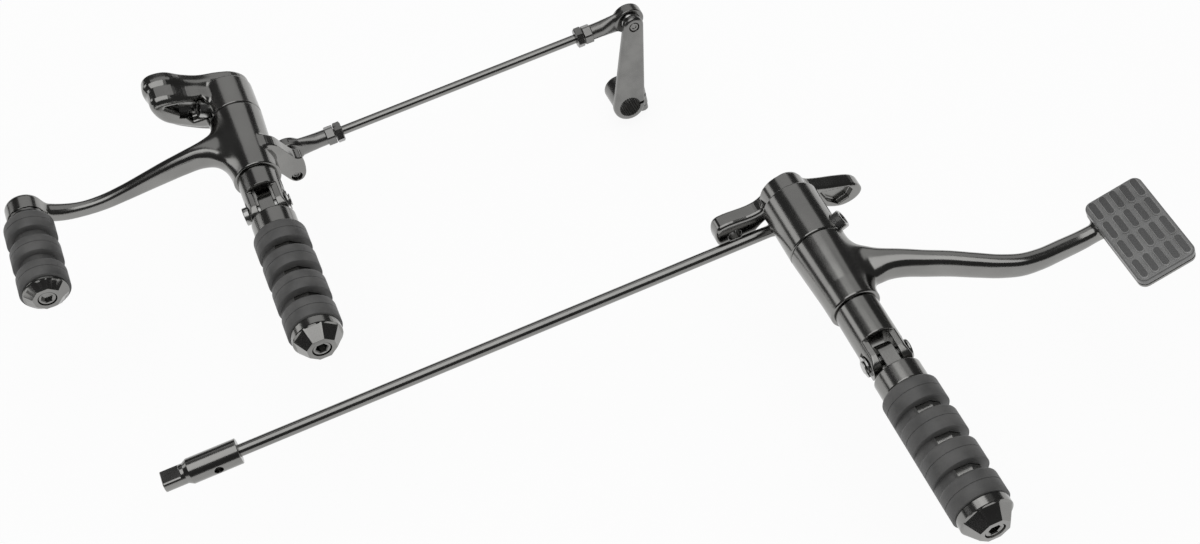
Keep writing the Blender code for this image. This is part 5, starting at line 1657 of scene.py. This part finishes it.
@dataclass
class ShiftLinkage:
    """The shift rod, its rod ends, nuts and bolts, and the arm that it turns."""

    lever: ShiftLever
    eye_z: float = 0.0170
    eye_radius: float = 0.0104
    eye_width: float = 0.0080
    eye_rim: float = 0.0010
    ball_radius: float = 0.0078
    ball_width: float = 0.0120
    shank_radius: float = 0.0054
    shank_start: float = 0.0040
    shank_thins: Tuple[float, float] = (0.010, 0.020)
    shank_widths: Outline = ((0.0, 0.0098), (0.010, 0.0078), (0.021, 0.0056), (0.030, 0.0054))
    collar_from_eye: float = 0.0285
    collar_width: float = 0.0060
    collar_across: float = 0.0122
    collar_corner: float = 1.10
    collar_rim: float = 0.0004
    end_depth: float = 0.0072
    nut_width: float = 0.0055
    nut_across: float = 0.0127
    bolt_head_radius: float = 0.0060
    bolt_head: float = 0.0016
    spacer_radius: float = 0.0065
    spacer_rim: float = 0.0005
    between_eyes: float = 0.2558
    rod_radius: float = 0.0032
    rod_insert: float = 0.0120
    arm_roll: float = math.radians(-8.0)
    arm_bore: Tuple[float, float] = (-0.0158, -0.0670)
    arm_thickness: float = 0.0062
    arm_rim: float = 0.0024
    fillet: float = 0.0020
    boss_rim: float = 0.0008
    arm_top_radius: float = 0.0074
    arm_bottom_radius: float = 0.0118
    bore_radius: float = 0.0081
    boss_radius: float = 0.0104
    boss_length: float = 0.0200
    slit: float = 0.0018
    pinch_radius: float = 0.0025
    pinch_head_radius: float = 0.0042
    pinch_head_length: float = 0.0044
    lobe_radius: float = 0.0046
    lobe_height: float = 0.0180
    pinch_back: float = 0.0100
    spline_count: int = 28
    spline_depth: float = 0.0005

    def build(self, maker: Maker) -> None:
        """Builds the linkage from the lever's ear to the shift arm.

        Args:
            maker: takes the finished pieces.
        """
        rod = self.lever.side.frame.child((*self.lever.ear_hole, self.eye_z))
        along = rod.child(turn=ALONG_X)
        collar_end = self.collar_from_eye + self.collar_width
        rear_end = self.between_eyes - collar_end
        end = self.rod_end()
        maker.piece("front_rod_end", end.placed(rod), SATIN_METAL)
        rear = rod.child((self.between_eyes, 0.0, 0.0), turn_about("y", math.pi))
        maker.piece("rear_rod_end", end.placed(rear), SATIN_METAL)
        bore = self.rod_radius + GAP
        for name, start in (("front_jam_nut", collar_end + GAP),
                            ("rear_jam_nut", rear_end - GAP - self.nut_width)):
            nut = hex_nut(self.nut_across, start, start + self.nut_width, bore)
            maker.piece(name, nut.placed(along), SATIN_METAL, NUT_SHARP)
        low, high = collar_end - self.rod_insert, rear_end + self.rod_insert
        bar = turned([(0.0, high), (self.rod_radius, high), (self.rod_radius, low), (0.0, low)],
                     SMALL_ROUND, GAP)
        maker.piece("shift_rod", bar.placed(along), GLOSS_METAL)
        half = self.ball_width / 2.0
        bolt_radius = self.lever.bolt_radius
        maker.piece("front_ball", self.ball(bolt_radius).placed(rod), DARK_STEEL)
        tab_back = self.lever.ear_front - self.lever.tab_thickness - self.eye_z
        spacer = turned([(self.spacer_radius, tab_back - GAP), (self.spacer_radius, half + GAP),
                         (bolt_radius + GAP, half + GAP), (bolt_radius + GAP, tab_back - GAP)],
                        SMALL_ROUND, self.spacer_rim)
        maker.piece("front_spacer", spacer.placed(rod), SATIN_METAL)
        length = half + GAP + tab_back + self.lever.tab_thickness - self.lever.bolt_recess
        bolt = domed_bolt(bolt_radius, length, self.bolt_head_radius, self.bolt_head)
        seat = rod.child((0.0, 0.0, -half - GAP), BACKWARDS)
        maker.piece("front_rod_bolt", bolt.placed(seat), SATIN_METAL, NUT_SHARP)
        self.rear(maker, rod)

    def ball(self, bolt_radius: float) -> Surface:
        """A drilled ball with flat ends.

        Args:
            bolt_radius: its bolt's radius.

        Returns:
            The ball.
        """
        half = self.ball_width / 2.0
        top = math.asin(half / self.ball_radius)
        bore = bolt_radius + GAP
        band = [(self.ball_radius * math.cos(a), self.ball_radius * math.sin(a))
                for a in np.linspace(top, -top, 17)]
        return turned(band + [(bore, -half), (bore, half)], 64)

    def rod_end(self) -> Surface:
        """A rod end cast round its ball: eye, waisted shank and six-sided collar.

        Returns:
            The rod end, with its eye at the origin and its shank along x.
        """
        collar_end = self.collar_from_eye + self.collar_width
        half = self.eye_width / 2.0

        def shape(x: Array, y: Array, z: Array) -> Array:
            """Eye and shank blended, the collar, and the ball's seat and the rod's bore taken out.

            Args:
                x, y, z: coordinates in this frame.

            Returns:
                The field: distances in metres, negative inside.
            """
            eye = solid_round(np.hypot(x, y), z, self.eye_radius, -half, half, self.eye_rim)
            wide = np.interp(x, *zip(*self.shank_widths))
            thick = np.interp(x, self.shank_thins, (half, self.shank_radius))
            shank = np.hypot(y / wide, z / thick) - 1.0
            ends = np.maximum(self.shank_start - x, x - collar_end + GAP)
            shank = np.maximum(shank * np.minimum(wide, thick), ends)
            flat = self.collar_across / 2.0
            six = np.maximum.reduce([np.abs(y * math.cos(a) + z * math.sin(a))
                                     for a in (math.pi / 2.0, math.pi / 6.0, -math.pi / 6.0)])
            corners = np.hypot(y, z) - flat * self.collar_corner
            collar = slab(np.maximum(six - flat, corners), x, self.collar_from_eye, collar_end,
                          self.collar_rim)
            body = np.minimum(blend(eye, shank, self.fillet), collar)
            seat = np.sqrt(x * x + y * y + z * z) - self.ball_radius - GAP
            bore = solid_round(np.hypot(y, z), x, self.rod_radius + GAP, collar_end - self.rod_insert - GAP,
                               collar_end + OPEN)
            return cut(cut(body, seat), bore)

        reach, depth = self.eye_radius, self.end_depth
        return cast(shape, (-reach, -reach, -depth), (collar_end, reach, depth), FINE_PITCH)

    def rear(self, maker: Maker, rod: Frame) -> None:
        """The rear ball, its bolt, the split shift arm and the arm's pinch bolt.

        Args:
            maker: takes the finished pieces.
            rod: the rod's frame, at its front eye.
        """
        arm = rod.child((self.between_eyes, 0.0, 0.0), turn_about("x", self.arm_roll))
        half = self.ball_width / 2.0
        back = half + GAP
        front = back + self.arm_thickness
        bolt_radius = self.lever.bolt_radius
        maker.piece("rear_ball", self.ball(bolt_radius).placed(arm), DARK_STEEL)
        bolt = domed_bolt(bolt_radius, half + front, self.bolt_head_radius, self.bolt_head)
        seat = arm.child((0.0, 0.0, -half - GAP), BACKWARDS)
        maker.piece("rear_rod_bolt", bolt.placed(seat), SATIN_METAL, NUT_SHARP)
        bx, by = self.arm_bore
        boss_back = back - self.boss_length
        lobe_x = bx + self.bore_radius + 2.0 * GAP + self.pinch_radius
        lobe_z = front - self.pinch_back

        def shape(x: Array, y: Array, z: Array) -> Array:
            """Arm, boss and pinch lobe, with the splined bore, the slit and the holes taken out.

            Args:
                x, y, z: coordinates in this frame.

            Returns:
                The field: distances in metres, negative inside.
            """
            flat = capsule(x, y, (0.0, 0.0), self.arm_top_radius, self.arm_bore, self.arm_bottom_radius)
            plate = slab(flat, z, back, front, self.arm_rim)
            r = np.hypot(x - bx, y - by)
            boss = solid_round(r, z, self.boss_radius, boss_back, back + self.fillet, self.boss_rim)
            flat = capsule(x, z, (lobe_x, lobe_z), self.lobe_radius, (lobe_x - self.lobe_radius, lobe_z),
                           self.lobe_radius)
            lobe = slab(flat, y - by, -self.lobe_height / 2.0, self.lobe_height / 2.0, self.boss_rim)
            body = blend(blend(plate, boss, self.fillet), lobe, self.fillet)
            turns = np.arctan2(y - by, x - bx) * self.spline_count / (2.0 * math.pi)
            teeth = np.abs(np.mod(turns, 1.0) - 0.5)
            bore = r - self.bore_radius + self.spline_depth * 2.0 * teeth
            slit = slab(np.abs(y - by) - self.slit / 2.0, x, bx, bx + 2.0 * OPEN)
            body = cut(cut(body, bore, GAP), slit)
            body = cut(body, np.hypot(x, y) - bolt_radius - GAP)
            return cut(body, np.hypot(x - lobe_x, z - lobe_z) - self.pinch_radius - GAP)

        low = (bx - self.arm_bottom_radius, by - self.arm_bottom_radius, boss_back)
        high = (max(self.arm_top_radius, lobe_x + self.lobe_radius), self.arm_top_radius, front)
        made = cast(shape, low, high, FINE_PITCH)
        maker.piece("shift_arm", made.placed(arm), SATIN_METAL)
        at = (lobe_x, by - self.lobe_height / 2.0 - GAP, lobe_z)
        head = socket_head(self.pinch_head_radius, self.pinch_head_length, self.pinch_radius,
                           self.lobe_height)
        maker.piece("arm_pinch_bolt", head.placed(arm.child(at, AGAINST_Y)), SATIN_METAL)


@dataclass
class BrakePedal:
    """The brake pedal, in one casting, and the rubber on its pad."""

    side: PegSide
    pad_centre: Point = (0.1638, 0.0190, 0.0864)
    pad_tilt: float = math.radians(14.5)
    pad_width: float = 0.0368
    pad_length: float = 0.0633
    pad_corner: float = 0.0050
    rubber_thickness: float = 0.0050
    pad_rim: float = 0.0010
    plate_thickness: float = 0.0028
    plate_rim: float = 0.0008
    rib_height: float = 0.0014
    rib_rim: float = 0.0005
    rib_root: float = 0.0010
    rib_fillet: float = 0.0004
    rib_columns: int = 5
    rib_rows: int = 4
    rib_column_pitch: float = 0.0069
    rib_row_pitch: float = 0.0155
    rib_width: float = 0.0046
    rib_length: float = 0.0140
    # Half the width of the band across each bar's edge over which the painted highlight and painted shade
    # change
    pad_band: float = 0.0007
    eye_drop: float = 0.0257
    eye_back: float = 0.0440
    eye_width: float = 0.0066
    bolt_radius: float = 0.0032
    engagement: float = 0.0120
    arm_fillet: float = 0.0060
    plate_fillet: float = 0.0030
    lug_fillet: float = 0.0040
    lug_half_width: float = 0.0098
    lug_squareness: float = 2.6
    box_low: Tuple[float, float] = (-0.0190, -0.0340)
    box_high: Point = (0.1880, 0.0260, 0.1220)
    lug_stations: Tuple[Point, ...] = (
        (-0.0407, -0.0257, 0.0050), (-0.0040, -0.0257, 0.0050), (0.0045, -0.0252, 0.0053),
        (0.0110, -0.0215, 0.0066), (0.0180, -0.0150, 0.0085), (0.0260, -0.0100, 0.0090))
    arm: Arm = Arm((
        (0.0040, 0.0000, 0.0240, 0.0100, 0.0220, 2.2), (0.0110, 0.0000, 0.0230, 0.0100, 0.0195, 2.2),
        (0.0185, 0.0000, 0.0240, 0.0099, 0.0145, 2.2), (0.0270, 0.0000, 0.0275, 0.0098, 0.0100, 2.3),
        (0.0385, 0.0000, 0.0325, 0.0097, 0.0073, 2.4), (0.0510, 0.0000, 0.0395, 0.0095, 0.0063, 2.5),
        (0.0639, 0.0000, 0.0466, 0.0092, 0.0060, 2.5), (0.0765, 0.0000, 0.0545, 0.0088, 0.0058, 2.5),
        (0.0887, 0.0000, 0.0618, 0.0083, 0.0056, 2.5), (0.1000, 0.0000, 0.0665, 0.0078, 0.0055, 2.5),
        (0.1110, 0.0000, 0.0680, 0.0073, 0.0054, 2.4), (0.1250, 0.0002, 0.0678, 0.0068, 0.0053, 2.4),
        (0.1400, 0.0012, 0.0677, 0.0063, 0.0052, 2.3), (0.1500, 0.0040, 0.0682, 0.0055, 0.0052, 2.3),
        (0.1590, 0.0075, 0.0700, 0.0045, 0.0060, 2.3)))

    def pad_frame(self) -> Frame:
        """The frame of the pad's plane: x across, y along and z up out of the rubber."""
        flat = self.side.frame.child(self.pad_centre, turn_about("x", -math.pi / 2.0))
        return flat.child(turn=turn_about("y", -self.pad_tilt))

    def pad_outline(self, u: Array, v: Array) -> Array:
        """The distance in the pad's plane to its rounded rectangle.

        Args:
            u, v: coordinates across and along the pad.

        Returns:
            The distance, negative inside.
        """
        a = np.abs(u) - (self.pad_width / 2.0 - self.pad_corner)
        b = np.abs(v) - (self.pad_length / 2.0 - self.pad_corner)
        return overlap(a, b) - self.pad_corner

    def shape(self, x: Array, y: Array, z: Array) -> Array:
        """The pedal's field.

        Args:
            x, y, z: coordinates in this frame.

        Returns:
            The field: distances in metres, negative inside.
        """
        px, py, pz = x - self.pad_centre[0], y - self.pad_centre[1], z - self.pad_centre[2]
        c, s = math.cos(self.pad_tilt), math.sin(self.pad_tilt)
        u, v, w = px * c + py * s, -pz, py * c - px * s
        top = -self.rubber_thickness - GAP
        plate = slab(self.pad_outline(u, v), w, top - self.plate_thickness, top, self.plate_rim)
        eye_front = self.eye_back - self.eye_width / 2.0
        body = blend(self.side.hub(x, y, z), self.arm.distance(x, y, z), self.arm_fillet)
        body = blend(blend(body, plate, self.plate_fillet), self.lug(x, y, z, eye_front), self.lug_fillet)
        thread = solid_round(np.hypot(x, y + self.eye_drop), z, self.bolt_radius + GAP, -eye_front - OPEN,
                             -eye_front + self.engagement + 2.0 * GAP)
        return cut(cut(body, thread), self.side.hub_bore(x, y, z))

    def lug(self, x: Array, y: Array, z: Array, eye_front: float) -> Array:
        """The field of the lug that holds the brake rod.

        At each z its section is a superellipse, whose middle and half height follow the stations
        (z, y, half height).

        Args:
            x, y, z: coordinates in this frame.
            eye_front: how far back the rod's eye begins.

        Returns:
            The field: distances in metres, negative inside.
        """
        at, middle, height = zip(*self.lug_stations)
        centre, half, n = np.interp(z, at, middle), np.interp(z, at, height), self.lug_squareness
        across = ((np.abs(x) / self.lug_half_width) ** n + (np.abs(y - centre) / half) ** n) ** (1.0 / n)
        return np.maximum((across - 1.0) * half, np.maximum(GAP - eye_front - z, z - at[-1]))

    def build(self, maker: Maker) -> None:
        """Casts the pedal and moulds the pad.

        Args:
            maker: takes the finished pieces.
        """
        made = cast(self.shape, (*self.box_low, GAP - self.eye_back), self.box_high)
        maker.piece("brake_pedal", made.placed(self.side.frame), GLOSS_METAL)
        self.pad(maker)

    def bar(self, x: Array, y: Array) -> Array:
        """The distance in the pad's plane to the nearest of its bars.

        Args:
            x, y: coordinates across and along the pad.

        Returns:
            The distance, negative inside.
        """
        last = self.rib_columns // 2
        column = np.clip(np.round(x / self.rib_column_pitch), -last, last)
        row = np.clip(np.floor(y / self.rib_row_pitch), -self.rib_rows / 2, self.rib_rows / 2 - 1) + 0.5
        dx = x - column * self.rib_column_pitch
        dy = y - row * self.rib_row_pitch
        reach = (self.rib_length - self.rib_width) / 2.0
        return np.hypot(dx, np.maximum(np.abs(dy) - reach, 0.0)) - self.rib_width / 2.0

    def pad(self, maker: Maker) -> None:
        """The pad's rubber, with its rows of raised bars.

        Args:
            maker: takes the finished pieces.
        """

        def shape(x: Array, y: Array, z: Array) -> Array:
            """A round-edged block with bars whose tops are rounded.

            Args:
                x, y, z: coordinates in this frame.

            Returns:
                The field: distances in metres, negative inside.
            """
            block = slab(self.pad_outline(x, y), z, -self.rubber_thickness, 0.0, self.pad_rim)
            bars = slab(self.bar(x, y), z, -self.rib_root, self.rib_height, self.rib_rim)
            return blend(block, bars, self.rib_fillet)

        reach = (self.pad_width / 2.0, self.pad_length / 2.0)
        made = cast(shape, (-reach[0], -reach[1], -self.rubber_thickness),
                    (reach[0], reach[1], self.rib_height), FINE_PITCH)
        # How far inside a bar each point lies, 0 on the floor to 1 on the tops; it sets the pad's painted
        # sheen, painted highlights and painted shade
        inward = self.pad_band - self.bar(made.points[:, 0], made.points[:, 1])
        painted_relief_light = np.clip(inward / (2.0 * self.pad_band), 0.0, 1.0)
        maker.piece("brake_pad", made.placed(self.pad_frame()), PAD_RUBBER, painted_relief_light=painted_relief_light)


@dataclass
class BrakeLinkage:
    """The brake rod with its forged eye, the bolt that holds it, and the coupler."""

    pedal: BrakePedal
    eye_radius: float = 0.0088
    eye_rim: float = 0.0009
    eye_fillet: float = 0.0060
    rod_radius: float = 0.0039
    head_radius: float = 0.0056
    head_length: float = 0.0026
    coupler_start: float = -0.3678
    coupler_wide: float = 0.0317
    coupler_taper: float = 0.0030
    coupler_length: float = 0.0489
    coupler_radius: float = 0.0082
    coupler_end_radius: float = 0.0065
    coupler_insert: float = 0.0260
    hole_radius: float = 0.0028
    hole_from_start: float = 0.0150
    flat_length: float = 0.0115
    flat_depth: float = 0.0022
    coupler_rim: float = 0.0006
    cut_edge: float = 0.0008

    def build(self, maker: Maker) -> None:
        """Builds the rod, the bolt and the coupler.

        Args:
            maker: takes the finished pieces.
        """
        pedal = self.pedal
        frame = pedal.side.frame.child((0.0, -pedal.eye_drop, -pedal.eye_back))
        half = pedal.eye_width / 2.0
        end = self.coupler_start - self.coupler_insert
        root = -4.0 * self.eye_radius

        def rod(x: Array, y: Array, z: Array) -> Array:
            """The eye and the bar that grows out of it.

            Args:
                x, y, z: coordinates in this frame.

            Returns:
                The field: distances in metres, negative inside.
            """
            eye = solid_round(np.hypot(x, y), z, self.eye_radius, -half, half, self.eye_rim)
            bar = solid_round(np.hypot(y, z), x, self.rod_radius, root, -0.5 * self.eye_radius)
            hole = np.hypot(x, y) - pedal.bolt_radius - GAP
            return cut(blend(eye, bar, self.eye_fillet), hole)

        reach = self.eye_radius
        made = cast(rod, (root, -reach, -pedal.eye_width), (reach, reach, pedal.eye_width), FINE_PITCH)
        start = root + self.rod_radius
        radius = self.rod_radius
        bar = turned([(0.0, start), (radius, start), (radius, end), (0.0, end)], SMALL_ROUND)
        bar = bar.placed(frame.child(turn=ALONG_X))
        maker.piece("brake_rod", joined([made.placed(frame), bar]), GLOSS_METAL)
        head = socket_head(self.head_radius, self.head_length, pedal.bolt_radius,
                           pedal.eye_width + pedal.engagement)
        seat = frame.child((0.0, 0.0, -half - GAP), BACKWARDS)
        maker.piece("brake_rod_bolt", head.placed(seat), SATIN_METAL)
        self.coupler(maker, frame, end)

    def coupler(self, maker: Maker, frame: Frame, rod_end: float) -> None:
        """The stepped sleeve with its cross hole and milled flat.

        Args:
            maker: takes the finished pieces.
            frame: the rod's frame.
            rod_end: where the rod ends, along x.
        """
        tail = self.coupler_start - self.coupler_length
        step = self.coupler_start - self.coupler_wide

        def shape(x: Array, y: Array, z: Array) -> Array:
            """Sleeve, bored, drilled and milled.

            Args:
                x, y, z: coordinates in this frame.

            Returns:
                The field: distances in metres, negative inside.
            """
            radius = np.interp(x, (step - self.coupler_taper, step),
                               (self.coupler_end_radius, self.coupler_radius))
            r = np.hypot(y, z)
            body = solid_round(r - radius, x, 0.0, tail, self.coupler_start, self.coupler_rim)
            bore = solid_round(r, x, self.rod_radius + GAP, rod_end - 2.0 * GAP, self.coupler_start + OPEN)
            hx = self.coupler_start - self.hole_from_start
            hole = solid_round(np.hypot(x - hx, y), z, self.hole_radius, self.rod_radius, OPEN)
            flat = np.maximum(self.coupler_end_radius - self.flat_depth - y, x - tail - self.flat_length)
            return cut(cut(cut(body, bore), hole, self.cut_edge), flat, self.cut_edge)

        reach = self.coupler_radius
        made = cast(shape, (tail, -reach, -reach), (self.coupler_start, reach, reach), FINE_PITCH)
        maker.piece("brake_coupler", made.placed(frame), GLOSS_METAL)


def joint_place(joints: Sequence[Dict], name: str) -> Point:
    """The place of the frame's joint of a name."""
    return tuple(next(joint["pos_m"] for joint in joints if joint["name"] == name))


def main() -> None:
    """Builds every piece, in order."""
    logging.basicConfig(level=logging.INFO, format="%(message)s")
    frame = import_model()
    cad_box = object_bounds()
    maker = Maker(frame["nodes"])
    left = PegSide("left", joint_place(frame["joints"], "shift_lever_pivot"), bore_depth=0.0290,
                   hub_length=0.0577, support_reach=0.0738, screw_turn=math.pi - SCREW_TILT,
                   screw_back=0.0130, pin_turn=math.pi / 2.0, pin_head_length=0.0038)
    right = PegSide("right", joint_place(frame["joints"], "brake_pedal_pivot"), bore_depth=0.0400,
                    hub_length=0.0505, support_reach=0.0782, screw_turn=SCREW_TILT,
                    screw_back=0.0060, pin_turn=-math.pi / 2.0, pin_head_length=0.0016)
    lever = ShiftLever(left)
    pedal = BrakePedal(right)
    for assembly in (left, right, LeftBracket(left), RightBracket(right), lever, ToePeg(lever),
                     ShiftLinkage(lever), pedal, BrakeLinkage(pedal)):
        assembly.build(maker)
    missing = sorted(set(frame["nodes"]) - set(maker.dressed))
    if missing:
        raise ValueError(f"no finish for {missing}")
    bpy.context.scene.view_settings.view_transform = "Standard"
    Stage().build(cad_box[0].z)


if __name__ == "__main__":
    main()
